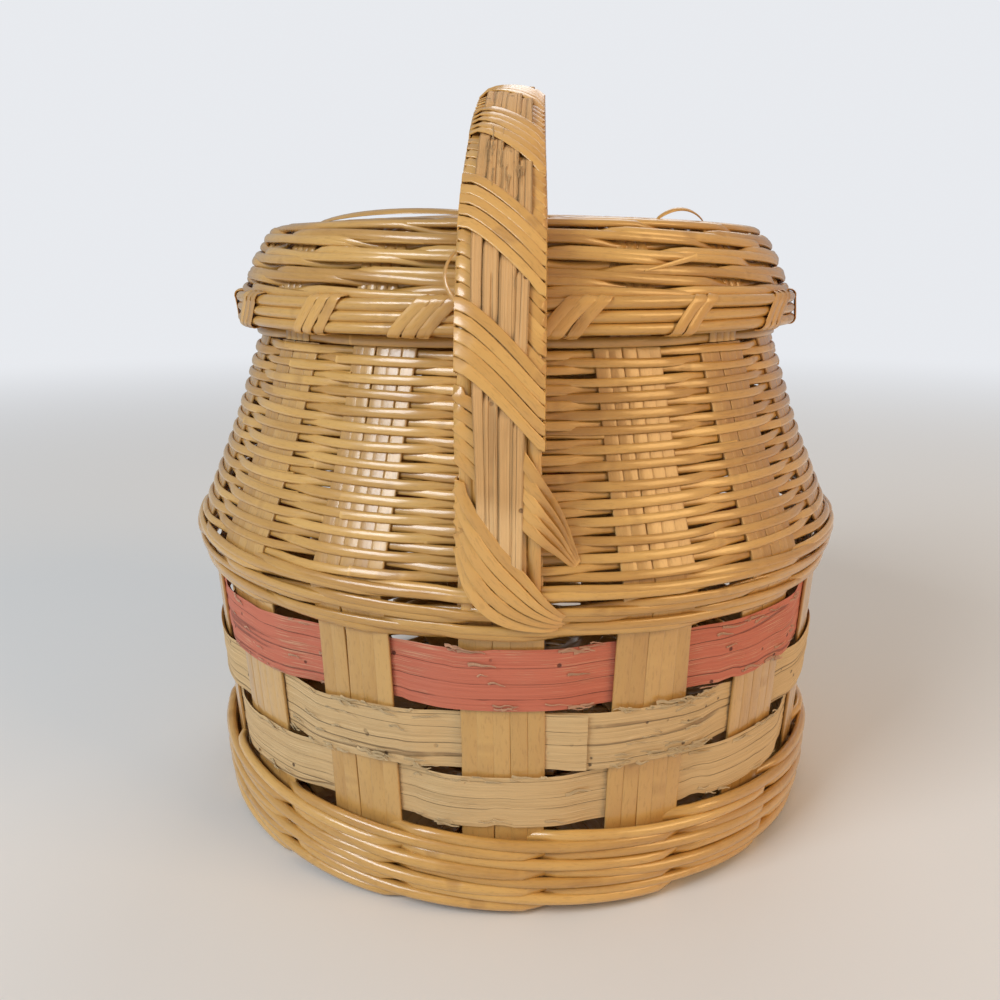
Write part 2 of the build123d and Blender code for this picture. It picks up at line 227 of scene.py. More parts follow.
class Weaving:
    """A mesh to which canes are added one at a time."""

    def __init__(self):
        self.mesh = bmesh.new()
        self.uv = self.mesh.loops.layers.uv.new("UVMap")
        self.tone = self.mesh.verts.layers.float.new("tone")
        self.ends = self.mesh.verts.layers.float.new("ends")

    def cane(self, stations, wide, thick, tone, edges, square):
        """Lay one cane. A station is its place, its outward direction, and a scale of width.

        The section is an ellipse where square is 1, and squarer where it is less.
        """
        places = [station[0] for station in stations]
        last = len(places) - 1
        rows = last + 3
        grid = bmesh.ops.create_grid(
            self.mesh, x_segments=rows - 1, y_segments=edges, size=1, calc_uvs=False
        )["verts"]
        run = [0.0]
        for a, b in zip(places, places[1:]):
            run.append(run[-1] + (b - a).length)
        sections = []
        for row in range(rows):
            i = min(last, max(0, row - 1))
            place, out = stations[i][0], stations[i][1]
            scale = stations[i][2] if len(stations[i]) > 2 else 1
            along = (places[min(last, i + 1)] - places[max(0, i - 1)]).normalized()
            across = along.cross(out).normalized()
            outward = across.cross(along)
            if row in (0, rows - 1):
                scale = 0
            sections.append((place, across * scale, outward * scale, run[i]))
        for vert in grid:
            row = round((vert.co.x + 1) / 2 * (rows - 1))
            turn = (vert.co.y + 1) / 2
            place, across, outward, length_here = sections[row]
            c, s = math.cos(turn * TURN), math.sin(turn * TURN)
            x = math.copysign(abs(c) ** square, c) * wide / 2
            y = math.copysign(abs(s) ** (square + 0.2), s) * thick / 2
            vert.co = place + across * x + outward * y
            vert[self.tone] = tone
            vert[self.ends] = min(length_here, run[-1] - length_here)
            vert.index = row * (edges + 1) + round(turn * edges)
        self.lay_uv(grid, edges, [section[3] for section in sections])

    def lay_uv(self, grid, edges, runs):
        """Length in decimetres along the cane, and a share of the way round it."""
        for face in {face for vert in grid for face in vert.link_faces}:
            for loop in face.loops:
                row, turn = divmod(loop.vert.index, edges + 1)
                loop[self.uv].uv = (runs[row] * DECIMETRES, turn / edges)

    def finish(self, name, body, slot, material, *replaced):
        """Close the canes and hand the piece to the frame."""
        bmesh.ops.remove_doubles(self.mesh, verts=self.mesh.verts, dist=WELD)
        bmesh.ops.recalc_face_normals(self.mesh, faces=self.mesh.faces)
        for face in self.mesh.faces:
            face.smooth = True
        mesh = bpy.data.meshes.new(name)
        self.mesh.to_mesh(mesh)
        self.mesh.free()
        mesh.set_sharp_from_angle(angle=SHARP_EDGE)
        piece = bpy.data.objects.new(name, mesh)
        bpy.context.scene.collection.objects.link(piece)
        mesh.materials.append(material)
        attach(piece, body)
        if replaced:
            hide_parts(*replaced)
        return piece


# ---- shaders -----------------------------------------------------------------------------
class Wire:
    """A shader socket that takes part in sums."""

    def __init__(self, paint, socket):
        self.paint = paint
        self.socket = socket

    def math(self, kind, other=0.0, swapped=False):
        pair = (other, self) if swapped else (self, other)
        return self.paint.node("ShaderNodeMath", {"operation": kind}, {0: pair[0], 1: pair[1]})["Value"]

    def __add__(self, other):
        return self.math("ADD", other)

    def __radd__(self, other):
        return self.math("ADD", other)

    def __sub__(self, other):
        return self.math("SUBTRACT", other)

    def __rsub__(self, other):
        return self.math("SUBTRACT", other, True)

    def __mul__(self, other):
        return self.math("MULTIPLY", other)

    def __rmul__(self, other):
        return self.math("MULTIPLY", other)

    def over(self, level, width):
        """0 below a level, 1 above it, across a soft edge."""
        ramp = self.paint.node(
            "ShaderNodeMapRange", {"interpolation_type": "SMOOTHSTEP"},
            {"Value": self, "From Min": level - width / 2, "From Max": level + width / 2},
        )
        return ramp["Result"]


class Outputs:
    """The sockets that a node gives out, by name or number."""

    def __init__(self, paint, node):
        self.paint = paint
        self.node = node

    def __getitem__(self, name):
        return Wire(self.paint, self.node.outputs[name])


MIX_SHARE, MIX_FIRST, MIX_SECOND, MIX_RESULT = 0, 6, 7, 2     # a Mix node's colour sockets


class Paint:
    """One material under construction."""

    def __init__(self, name):
        self.material = bpy.data.materials.new(name)
        self.material.use_nodes = True
        self.tree = self.material.node_tree
        self.tree.nodes.clear()

    def node(self, kind, settings=None, values=None):
        """Add a node with its settings, then the values or links of its sockets."""
        made = self.tree.nodes.new(kind)
        for key, value in (settings or {}).items():
            setattr(made, key, value)
        for key, value in (values or {}).items():
            if isinstance(value, Wire):
                self.tree.links.new(value.socket, made.inputs[key])
            else:
                made.inputs[key].default_value = value
        return Outputs(self, made)

    def noise(self, where, scale, detail=3.0, rough=0.55, stretch=None):
        """A noise pattern, stretched by a scale of its own on each axis."""
        if stretch:
            where = self.node("ShaderNodeMapping", None, {"Vector": where, "Scale": stretch})["Vector"]
        values = {"Vector": where, "Scale": scale, "Detail": detail, "Roughness": rough}
        return self.node("ShaderNodeTexNoise", None, values)["Fac"]

    def blend(self, share, a, b):
        """Mix two colours."""
        a = (*a, 1) if isinstance(a, tuple) else a
        b = (*b, 1) if isinstance(b, tuple) else b
        values = {MIX_SHARE: share, MIX_FIRST: a, MIX_SECOND: b}
        return self.node("ShaderNodeMix", {"data_type": "RGBA"}, values)[MIX_RESULT]

    def finish(self, colour, rough, bump, depth, coat, coat_rough):
        """Join colour, roughness and bump to the shader."""
        values = {"Height": bump, "Distance": depth, "Strength": 1.0}
        normal = self.node("ShaderNodeBump", None, values)["Normal"]
        values = {"Base Color": colour, "Roughness": rough, "Normal": normal,
                  "Coat Weight": coat, "Coat Roughness": coat_rough}
        shader = self.node("ShaderNodeBsdfPrincipled", None, values)
        self.node("ShaderNodeOutputMaterial", None, {"Surface": shader["BSDF"]})
        return self.material


def tint(base, *factors):
    """A colour with each channel times its own factor."""
    return tuple(min(1.0, channel * factor) for channel, factor in zip(base, factors))


MADE = {}                       # materials made so far, by name


def split_pattern(paint, spread_along, spread_across):
    """Where a pattern along the canes is read: each cane's own stretch of it, and its tone."""
    uv = paint.node("ShaderNodeUVMap", {"uv_map": "UVMap"})["UV"]
    tone = paint.node("ShaderNodeAttribute", {"attribute_name": "tone"})["Fac"]
    values = {"X": tone * spread_along, "Y": tone * spread_across}
    spread = paint.node("ShaderNodeCombineXYZ", None, values)["Vector"]
    along = paint.node("ShaderNodeVectorMath", {"operation": "ADD"}, {0: uv, 1: spread})["Vector"]
    return along, tone


def cane_finish(name, base, gloss, streaks, blotch):
    """Split cane: a tone of its own, fine streaks along it, node scars and a sheen."""
    if name in MADE:
        return MADE[name]
    paint = Paint(name)
    place = paint.node("ShaderNodeTexCoord")["Object"]
    ends = paint.node("ShaderNodeAttribute", {"attribute_name": "ends"})["Fac"]
    along, tone = split_pattern(paint, 37.0, 11.0)
    fibre = paint.noise(along, 1.0, 2.0, 0.6, stretch=(7.0, streaks, 1.0))
    grain = paint.noise(along, 1.0, 2.0, 0.6, stretch=(20.0, streaks * 2.6, 1.0))
    cloud = paint.noise(place, 38.0, 3.0)
    patch = paint.noise(along, 1.0, 2.0, 0.5, stretch=(2.2, 0.7, 1.0))
    pale = tint(base, 1.27, 1.31, 1.46)
    deep = tint(base, 0.70, 0.58, 0.44)
    joint = paint.noise(along, 1.0, 0.0, 0.5, stretch=(6.0, 0.5, 1.0))
    scar = joint.over(0.735, 0.11) * (0.45 + grain.over(0.48, 0.3) * 0.55)
    cut = 1 - ends.over(0.0012, 0.0014)
    surface = paint.blend(tone, deep, pale)
    for share, hue in (
        (cloud.over(0.5, 0.5) * blotch, tint(base, 0.86, 0.74, 0.60)),
        (patch.over(0.56, 0.3) * 0.45, tint(base, 1.25, 1.28, 1.35)),
        (fibre.over(0.42, 0.16) * 0.22, tint(base, 1.18, 1.16, 1.1)),
        ((1 - grain.over(0.40, 0.14)) * 0.22, tint(base, 0.50, 0.40, 0.28)),
        (joint.over(0.68, 0.12) * 0.3, pale),
        (scar * 0.45, tint(base, 0.50, 0.36, 0.22)),
        (cut * 0.7, tint(base, 1.35, 1.42, 1.7)),
    ):
        surface = paint.blend(share, surface, hue)
    rough = gloss + fibre * 0.18 + scar * 0.2 + cut * 0.3
    bump = fibre * 0.6 + grain * 0.4 - scar * 0.8
    MADE[name] = paint.finish(surface, rough, bump, 0.22 * MM, 0.75, 0.15)
    return MADE[name]


def splint_finish(name, base, grime, cracks, pale, deep):
    """Rough split cane: long fibres, cracks along them, pin-holes and torn pale fibres."""
    if name in MADE:
        return MADE[name]
    paint = Paint(name)
    place = paint.node("ShaderNodeTexCoord")["Object"]
    ends = paint.node("ShaderNodeAttribute", {"attribute_name": "ends"})["Fac"]
    along, _ = split_pattern(paint, 31.0, 17.0)
    fibre = paint.noise(along, 1.0, 3.0, 0.62, stretch=(0.8, 70.0, 1.0))
    fine = paint.noise(along, 1.0, 3.0, 0.6, stretch=(3.0, 230.0, 1.0))
    cloud = paint.noise(place, 26.0, 4.0, 0.6)
    crack_line = paint.noise(along, 1.0, 1.0, 0.3, stretch=(0.22, 11.0, 1.0))
    crack = 1 - (crack_line - 0.5).math("ABSOLUTE").over(0.0065, 0.009)
    crack = crack * cloud.over(0.40, 0.2)
    holes = paint.node("ShaderNodeTexVoronoi", {"feature": "F1"}, {"Vector": place, "Scale": 95.0})
    hole = (1 - holes["Distance"].over(0.085, 0.05)) * cloud.over(0.46, 0.12)
    torn = fine.over(0.58, 0.1) * cloud.over(0.49, 0.14)
    sliver = 1 - ends.over(0.03, 0.01)
    surface = paint.blend(fibre.over(0.44, 0.5), tuple(mix(a, b, 0.35) for a, b in zip(deep, base)), base)
    for share, hue in (
        (cloud.over(0.58, 0.4) * grime, tint(deep, 1.05, 1.05, 1.05)),
        (fine.over(0.5, 0.3) * 0.35, tint(base, 1.16, 1.14, 1.14)),
        (torn * 0.6, pale),
        (crack * cracks, tint(deep, 0.36, 0.28, 0.24)),
        (sliver * 0.75, pale),
        (hole * 0.9, tint(deep, 0.22, 0.18, 0.16)),
    ):
        surface = paint.blend(share, surface, hue)
    bump = fibre * 0.8 + fine * 0.22 + torn * 0.12 - crack * 1.2 - hole * 1.2
    rough = 0.56 + cloud * 0.2
    MADE[name] = paint.finish(surface, rough, bump, 0.55 * MM, 0.05, 0.45)
    return MADE[name]


def cane():
    return cane_finish("split_cane", tuple(colours().cane), 0.24, 9.0, 0.42)


def stake_cane():
    return cane_finish("stake_cane", tuple(colours().stake), 0.24, 15.0, 0.3)


def handle_cane():
    return cane_finish("handle_cane", tint(tuple(colours().cane), 1.04, 1.0, 0.98), 0.25, 8.0, 0.3)


def rough_leader():
    base = tuple(colours().leader)
    pale, deep = tint(base, 1.2, 1.3, 1.5), tint(base, 0.62, 0.52, 0.45)
    return splint_finish("rough_leader", base, 0.2, 0.3, pale, deep)


def natural_splint():
    base = tuple(colours().splint)
    pale, deep = tint(base, 1.3, 1.4, 1.6), tint(base, 0.66, 0.60, 0.54)
    return splint_finish("natural_splint", base, 0.3, 0.6, pale, deep)


def coral_splint():
    base = tuple(colours().coral)
    pale, deep = tint(base, 1.35, 2.9, 3.1), tint(base, 0.78, 0.62, 0.55)
    return splint_finish("coral_splint", base, 0.35, 0.6, pale, deep)


# ---- the basket ---------------------------------------------------------------------------
STAKE_FEET = (62 * MM, 80 * MM, 100 * MM, 120 * MM, 134 * MM)     # radii of the stations on the base
STAKE_BEND = 9 * MM             # radius of the bend from the base up into the wall
STAKE_TAPER = 0.885             # share of a stake's width that is left at the mouth
TAPER_HEIGHTS = (130 * MM, 215 * MM)
STAKE_SPLIT = 0.275 * MM        # how far the halves of a stake stand apart


def stake_line():
    """Stations up the middle of a stake: radius, height, outward and upright parts."""
    line = []
    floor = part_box("stake_01")[0].z + sizes().stake_thick / 2
    top = floor + 0.52 * STAKE_BEND
    lean = (wall_radius(top + MM) - wall_radius(top - MM)) / (2 * MM)
    turn = math.pi / 2 - math.atan(lean)
    start = stake_radius(top) - STAKE_BEND * math.sin(turn)
    for r in (*STAKE_FEET, start):
        line.append((r, floor, 0, -1))
    for step in range(1, 4):
        a = turn * step / 4
        r = start + STAKE_BEND * math.sin(a)
        line.append((r, floor + STAKE_BEND * (1 - math.cos(a)), math.sin(a), -math.cos(a)))
    rises = 30
    for step in range(rises + 1):
        z = mix(top, MOUTH_TOP, step / rises)
        out, up = wall_normal(z)
        line.append((stake_radius(z), z, out, up))
    return line


class CREEL_OT_stakes(bpy.types.Operator):
    """Stakes of flat canes that stand up from the base to the mouth"""
    bl_idname = "creel.stakes"
    bl_label = "Stakes"

    def execute(self, context):
        line = stake_line()
        rng = random.Random(11)
        for index in range(STAKES):
            weaving = Weaving()
            canes = sizes().stake_canes
            pitch = sizes().stake_width / canes
            shades = [rng.uniform(0.3, 0.7) for _ in range(canes)]
            rng.choice((-1, 1))     # drawn only to keep the draws that follow in step
            for k in range(canes):
                shift = (k - (canes - 1) / 2) * pitch
                shift += math.copysign(STAKE_SPLIT, k - 1.4)
                seed = index * canes + k
                lift = rng.uniform(-0.07, 0.07) * MM
                stations = []
                for r, z, out, up in line:
                    squeeze = mix(1, STAKE_TAPER, ease(z, *TAPER_HEIGHTS))
                    a = stake_angle(index) + (shift * squeeze + drift(seed, z * 18, 0.35 * MM)) / r
                    face = facing(a, out, up)
                    stations.append((ring_point(r, a, z) + face * lift, face, squeeze))
                weaving.cane(stations, pitch + 0.5 * MM, sizes().stake_thick, shades[k], 16, 0.2)
            name = f"stake_{index + 1:02d}"
            weaving.finish(f"canes_{name}", "basket", "stake_cane", stake_cane(), name)
        return {"FINISHED"}


def wale_depth(phase, over, front, behind):
    """Radial place of a rod that passes over some stakes and behind one."""
    phase %= over + 1
    inward = ease(phase, over - 0.42, over - 0.02)
    if phase > over:
        inward = 1 - ease(phase, over + 0.55, over + 0.98)
    return mix(front, behind, inward)


def wale(weaving, rng, low, top, rounds, over, wide, thick, line, wander,
         back=1.3, lean=1, crown=0, step=1.5, fill=1.03):
    """Rounds of rods, each over some stakes and behind the next.

    The line gives a rod's place and facing. A rod wanders up and down, falls by lean
    widths as it goes, stands proud by crown between its stakes, and is laid fill times as
    wide, to close up with the next. Each round starts a step further on than the one below
    it. The rods begin within back radians of the basket's back.
    """
    steps = 8
    rods = over + 1
    for turn in range(rounds):
        middle = mix(low, top, turn / max(1, rounds - 1))
        for rod in range(rods):
            tone = rng.uniform(0.1, 0.9)
            seed = rng.uniform(0, 90)
            girth = rng.uniform(0.9, 1.06)
            start = rng.uniform(-back, back) - FRONT
            first = int((start - FRONT) / STAKE_TURN * steps)
            total = (STAKES + 1) * steps
            stations = []
            for i in range(total + 1):
                count_here = (first + i) / steps
                spot = (count_here + rod + turn * step + 0.5) % rods
                if spot < over:
                    sway = mix(0.5, -0.5, spot / over) * lean
                    proud = crown * math.sin(math.pi * spot / over)
                else:
                    sway = mix(-0.5, 0.5, ease(spot, over, over + 1)) * lean
                    proud = 0
                level = middle + sway * wide + drift(seed, i * 0.1, wander)
                place, out = line(level, FRONT + count_here * STAKE_TURN, spot, over)
                tuck = ease(abs(i - total / 2), total / 2 - steps * 0.9, total / 2) * thick * 0.8
                swell = girth + drift(seed + 40, i * 0.06, 0.08)
                stations.append((place + out * (proud - tuck), out, swell))
            weaving.cane(stations, wide * fill, thick, tone, 10, 0.9)


BOW_ROOM = 1.8 * MM


def bow_room(a):
    """How far the waist rows swing out over the feet of the bow."""
    aside = abs(math.cos(a)) * BELLY
    return BOW_ROOM * (1 - ease(aside, 15 * MM, 27 * MM))


def wall_place(thick, cover):
    """Where a waled rod lies on the basket's wall."""
    def line(level, a, spot, over):
        level = min(MOUTH_TOP, max(thick * 0.62, level))
        out, up = wall_normal(level)
        front = stake_radius(level) + (sizes().stake_thick + thick) / 2 + cover
        front += bow_room(a) * ease(level, FOOT_TOP, WAIST_LOW)
        behind = stake_radius(level) - (sizes().stake_thick + thick) / 2
        r = wale_depth(spot, over, front, behind)
        return ring_point(r, a, level), facing(a, out, up)
    return line


class CREEL_OT_foot(bpy.types.Operator):
    """Round rods waled round the foot"""
    bl_idname = "creel.foot"
    bl_label = "Foot rods"

    def execute(self, context):
        weaving = Weaving()
        rod = sizes().foot_rod
        rng = random.Random(5)
        rounds = max(2, round(FOOT_TOP / (2.25 * rod)))
        low, top = rod * 1.5, FOOT_TOP - rod * 1.5
        line = wall_place(rod, 0.9 * MM)
        wale(weaving, rng, low, top, rounds, 2, rod, rod, line, 1.1 * MM,
             lean=2, crown=1.3 * MM, step=1, fill=1.14)
        weaving.finish("foot_rods", "basket", "cane", cane(), "foot_weave")
        return {"FINISHED"}


class CREEL_OT_waist(bpy.types.Operator):
    """Canes waled round the waist"""
    bl_idname = "creel.waist"
    bl_label = "Waist rows"

    def execute(self, context):
        weaving = Weaving()
        rod = sizes().waist_rod
        rng = random.Random(8)
        thick = rod * 0.62
        low, top = WAIST_LOW + rod * 0.9, WAIST_TOP - rod * 0.8
        wale(weaving, rng, low, top, 3, 2, rod, thick, wall_place(thick, 0), 0.9 * MM)
        weaving.finish("waist_rows", "basket", "cane", cane(), "waist_weave")
        return {"FINISHED"}


class CREEL_OT_shoulder(bpy.types.Operator):
    """Fine flat rows over one stake and behind the next, up to the mouth"""
    bl_idname = "creel.shoulder"
    bl_label = "Shoulder rows"

    def execute(self, context):
        weaving = Weaving()
        rng = random.Random(21)
        rows = sizes().rows
        wide, thick = sizes().row_wide, sizes().row_thick
        low = WAIST_TOP + 0.5 * wide
        pitch = (MOUTH_TOP - 0.5 * wide - low) / (rows - 1)
        heights = [low + row * pitch + rng.uniform(-0.25, 0.25) * MM for row in range(rows)]
        heights[-1] = MOUTH_TOP - 0.5 * wide
        for row, height in enumerate(heights):
            sign = 1 if row % 2 else -1
            canes = rng.choice((2, 3, 3))
            start = rng.uniform(0, TURN)
            for k in range(canes):
                tone = rng.uniform(0.1, 0.95)
                span = TURN / canes + STAKE_TURN * 0.9
                self.row(weaving, rng, height, sign, start + k * TURN / canes, span, wide, thick, tone, row)
        weaving.finish("shoulder_rows", "basket", "cane", cane(), "upper_weave")
        return {"FINISHED"}

    def row(self, weaving, rng, height, sign, start, span, wide, thick, tone, row):
        """One cane of a row, which laps over the start of the next."""
        steps = int(span / STAKE_TURN * 10)
        girth = rng.uniform(0.88, 1.04)
        stations = []
        for i in range(steps + 1):
            a = start + span * i / steps
            level = height + drift(row + tone, i * 0.09, 0.55 * MM)
            level = min(MOUTH_TOP - 0.4 * wide, level)
            out, up = wall_normal(level)
            weave = over_under(a) * sign
            hold = (sizes().stake_thick + thick) / 2 + 0.05 * MM
            r = stake_radius(level) + hold * weave
            tuck = ease(i, steps - 9, steps) * 0.9 * MM
            face = facing(a, out, up)
            place = ring_point(r, a, level) - face * tuck
            stations.append((place, face, girth * (1 + drift(tone * 50, i * 0.21, 0.08))))
        weaving.cane(stations, wide, thick, tone, 10, 0.72)


SPLINT_SWING = 1.8 * MM         # from the stakes' middle out to a splint over them, or in behind
SPLINT_TURN = TURN + 0.2        # a splint's lap is the part over one turn
LAP_LIFT = 2.2 * MM
LAP_RISE = (0.976, 0.99)        # shares of the splint between which the lap rises
PATTERN_RADIUS = 168 * MM       # radius by which a splint's pattern is measured out


def splint_station(angle, level, sign, lift):
    """Place and facing of a wide splint."""
    out, up = wall_normal(level)
    swing = SPLINT_SWING * over_under(angle, 2.6) * sign
    r = stake_radius(level) + swing + lift
    return ring_point(r, angle, level), facing(angle, out, up)


def worn_edge(seed, step, size):
    """How far a splint's edge is worn back: a slow wave, and a torn nick here and there."""
    slow = drift(seed, step * 0.05, size * 0.5) + size * 0.4
    nick = ease(noise.noise(Vector((seed, step * 0.21, 3.0))), 0.28, 0.42) * size * 0.8
    return max(0, slow) + nick


def broad_splint(weaving, low, top, sign, start, tone, rough_low, rough_top):
    """A broad strip with worn edges, lapped over its own start.

    The grid's rows run up its outer side and back down the inner one.
    """
    thick = sizes().splint_thick
    steps, rows = 260, 30
    height = top - low
    grid = bmesh.ops.create_grid(weaving.mesh, x_segments=steps, y_segments=rows, size=1)["verts"]
    half = rows // 2
    run = PATTERN_RADIUS * SPLINT_TURN
    lap_low, lap_high = (steps * end for end in LAP_RISE)
    for vert in grid:
        i = round((vert.co.x + 1) / 2 * steps)
        j = round((vert.co.y + 1) / 2 * rows)
        a = start + SPLINT_TURN * i / steps
        side = 1 if j <= half else -1
        share = j / half if j <= half else (rows - j) / half
        edge_low = low + worn_edge(tone * 9 + 3, i, rough_low)
        edge_top = top - worn_edge(tone * 9 + 8, i, rough_top)
        level = mix(edge_low, edge_top, share)
        lift = LAP_LIFT * ease(i, lap_low, lap_high)
        lift += drift(tone * 4, i * 0.06, 0.25 * MM) + drift(share * 2.5 + tone, i * 0.05, 0.25 * MM)
        place, face = splint_station(a, level, sign, lift)
        body = thick / 2 * (1 - max(0, abs(share - 0.5) * 2 - 0.93) * 5)
        vert.co = place + face * side * body
        vert[weaving.tone] = tone
        vert[weaving.ends] = 0.05
        vert.index = i * (rows + 1) + j
    for face in {face for vert in grid for face in vert.link_faces}:
        for loop in face.loops:
            i, j = divmod(loop.vert.index, rows + 1)
            share = j / half if j <= half else 2 - (rows - j) / half
            loop[weaving.uv].uv = (run * i / steps * DECIMETRES, share * height * DECIMETRES)
    for i in (0, steps):
        ends = [vert for vert in grid if vert.index // (rows + 1) == i]
        ring = sorted(ends, key=lambda vert: vert.index)
        for a, b in zip(ring[:half], reversed(ring[half + 1:])):
            middle = (a.co + b.co) / 2
            a.co = middle
            b.co = middle


def slivers(weaving, rng, total, low, top, sign, spots):
    """Torn fibres that stand off a splint."""
    for index in range(total):
        spot, spread = rng.choice(spots)
        a0 = spot + rng.uniform(-spread, spread)
        level = rng.choice(
            (low + rng.uniform(0, 4) * MM, top - rng.uniform(0, 3) * MM, rng.uniform(low, top))
        )
        span = rng.uniform(0.02, 0.075)
        lift = rng.uniform(0.5, 1.6) * MM
        stations = []
        for i in range(7):
            t = i / 6
            height = level + drift(index, t * 2, 0.9 * MM)
            place, face = splint_station(a0 + span * t, height, sign, 0.75 * MM)
            stations.append((place + face * lift * t * t, face, 1 - 0.75 * t))
        weaving.cane(stations, rng.uniform(0.6, 2.0) * MM, 0.35 * MM, rng.uniform(0.8, 1), 6, 0.9)


class CREEL_OT_splints(bpy.types.Operator):
    """Three broad splints round the belly, the top one dyed"""
    bl_idname = "creel.splints"
    bl_label = "Broad splints"

    def execute(self, context):
        natural = ("natural_splint", natural_splint())
        dyed = ("coral_splint", coral_splint())
        self.splint(31, "splint_lower", natural, 1, 2.6, 0.31, 1.6 * MM, 1.0 * MM, 48,
                    ((-0.05, 0.22), (0.7, 0.3), (-0.9, 0.2)))
        self.splint(32, "splint_middle", natural, -1, 0.218, 0.72, 0.7 * MM, 1.2 * MM, 96,
                    ((0.42, 0.16), (-0.45, 0.25)))
        self.splint(33, "splint_dyed", dyed, 1, 2.9, 0.5, 1.5 * MM, 1.0 * MM, 60,
                    ((0.05, 0.2), (0.75, 0.2), (-0.7, 0.25)))
        return {"FINISHED"}

    def splint(self, seed, node, look, sign, lap, tone, rough_low, rough_top, torn, spots):
        """One splint that ends at lap, with torn fibres about some spots, each with its spread.

        Both are angles from the front. The roughness is how far each edge is worn back.
        """
        slot, material = look
        low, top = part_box(node)[0].z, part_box(node)[1].z
        rng = random.Random(seed)
        weaving = Weaving()
        start = FRONT + lap - SPLINT_TURN
        broad_splint(weaving, low, top, sign, start, tone, rough_low, rough_top)
        spots = [(FRONT + spot, spread) for spot, spread in spots]
        slivers(weaving, rng, torn, low, top, sign, spots)
        weaving.finish(f"{node}_strip", "basket", slot, material, node)


# ---- base and hubs --------------------------------------------------------------------------
def plait(weaving, rng, radius, wide, thick, middle):
    """A round plaited mat of flat canes, over one and under one, at a height by the radius."""
    count_here = int(2 * radius / wide)
    for way in (0, 1):
        side = thick * 0.52 * (1 if way else -1)
        for k in range(count_here):
            offset = (k - (count_here - 1) / 2) * wide
            reach = math.sqrt(max(0, radius ** 2 - offset ** 2))
            if reach < wide:
                continue
            steps = max(8, int(2 * reach / wide * 4))
            stations = []
            for i in range(steps + 1):
                s = mix(-reach, reach, i / steps)
                weave = math.cos(math.pi * (s / wide + (count_here - 1) / 2 - k + way))
                x, y = (s, offset) if way else (offset, s)
                z = middle(math.hypot(x, y)) + side * max(-1, min(1, 1.5 * weave))
                stations.append((Vector((x, y, z)), Vector((0, 0, 1))))
            weaving.cane(stations, wide * 0.94, thick, rng.uniform(0.2, 0.9), 8, 0.5)


def flat_rows(weaving, rng, inner, outer, rows, thick, middle, swing, wide=None):
    """Rings of cane over one stake and under the next, on a flat or domed face.

    The middle is the face's height by the radius, and the swing is how far a row rises
    and falls about it.
    """
    pitch = (outer - inner) / rows
    wide = wide or pitch * 0.97
    for row in range(rows):
        r = inner + (row + 0.5) * pitch
        start = rng.uniform(0, TURN)
        span = TURN + 0.25
        steps = STAKES * 8
        stations = []
        for i in range(steps + 1):
            a = start + span * i / steps
            radius = r + drift(row + inner * 50, i * 0.1, 0.35 * MM)
            weave = over_under(a) * (1 if row % 2 else -1)
            z = middle(radius) + swing * weave - ease(i, steps - 8, steps) * thick * 0.5
            lean = (middle(radius + MM) - middle(radius - MM)) / (2 * MM)
            face = facing(a, -lean, 1).normalized()
            stations.append((ring_point(radius, a, z), face, 1 + drift(row * 3.3, i * 0.2, 0.07)))
        weaving.cane(stations, wide, thick, rng.uniform(0.15, 0.9), 10, 0.7)


class CREEL_OT_base(bpy.types.Operator):
    """Rows under the stakes' feet and the plaited middle of the base"""
    bl_idname = "creel.base"
    bl_label = "Base"

    def execute(self, context):
        rng = random.Random(3)
        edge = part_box("base_mat")[1].x
        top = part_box("base_mat")[1].z
        low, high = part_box("base_hub")
        weaving = Weaving()
        flat_rows(weaving, rng, high.x * 0.55, edge + 0.5 * MM, 19, 1.3 * MM, lambda r: top * 0.5, 0.55 * MM)
        weaving.finish("base_rows", "basket", "cane", cane(), "base_mat")
        weaving = Weaving()
        plait(weaving, rng, high.x, 8.2 * MM, 1.2 * MM, lambda r: (low.z + high.z) / 2)
        weaving.finish("base_plait", "basket", "stake_cane", stake_cane(), "base_hub")
        return {"FINISHED"}


class CREEL_OT_mouth(bpy.types.Operator):
    """Hoop bound inside the mouth"""
    bl_idname = "creel.mouth"
    bl_label = "Mouth hoop"

    def execute(self, context):
        low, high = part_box("mouth_hoop")
        thick = high.z - low.z
        ring = high.x - thick / 2
        weaving = Weaving()
        start, span = 1.0, TURN + 0.3
        steps = 120
        stations = []
        for i in range(steps + 1):
            a = start + span * i / steps
            cross = ease(i, steps - 8, steps) - ease(steps - i, steps - 8, steps)
            z = (low.z + high.z) / 2 + 1.3 * MM * cross
            point = 1 - 0.45 * ease(abs(i - steps / 2), steps / 2 - 7, steps / 2)
            stations.append((ring_point(ring, a, z), facing(a, 1, 0), point))
        weaving.cane(stations, thick, thick, 0.5, 12, 0.95)
        weaving.finish("mouth_ring", "basket", "cane", cane(), "mouth_hoop")
        return {"FINISHED"}


# ---- the handle -----------------------------------------------------------------------------
BOW_HALF_THICK = 0.8 * MM
BOW_REACH = BOW_OUT - BOW_HALF_THICK
BOW_SPRING = 216 * MM           # height at which the legs pass into the arch
BOW_RISE = BOW_TOP - BOW_HALF_THICK - BOW_SPRING
LEG = BOW_SPRING - BOW_FOOT
FACE = 15.5 * MM                # half of the width that the strands lie across
CROWN_HEIGHTS = (285 * MM, 362 * MM)
CROWN_FALL = 3.0 * MM           # how far the bow's edges round off at its crown
CROWN_NARROW = 0.88
TUCK_HEIGHTS = (157 * MM, 169 * MM)


def arch_table():
    """Distance along half the arch for each turn from its spring."""
    table = [(0.0, 0.0)]
    steps = 400
    for i in range(1, steps + 1):
        a0, a1 = math.pi * (i - 1) / steps, math.pi * i / steps
        dy = BOW_REACH * (math.cos(a1) - math.cos(a0))
        dz = BOW_RISE * (math.sin(a1) - math.sin(a0))
        table.append((table[-1][0] + math.hypot(dy, dz), a1))
    return table


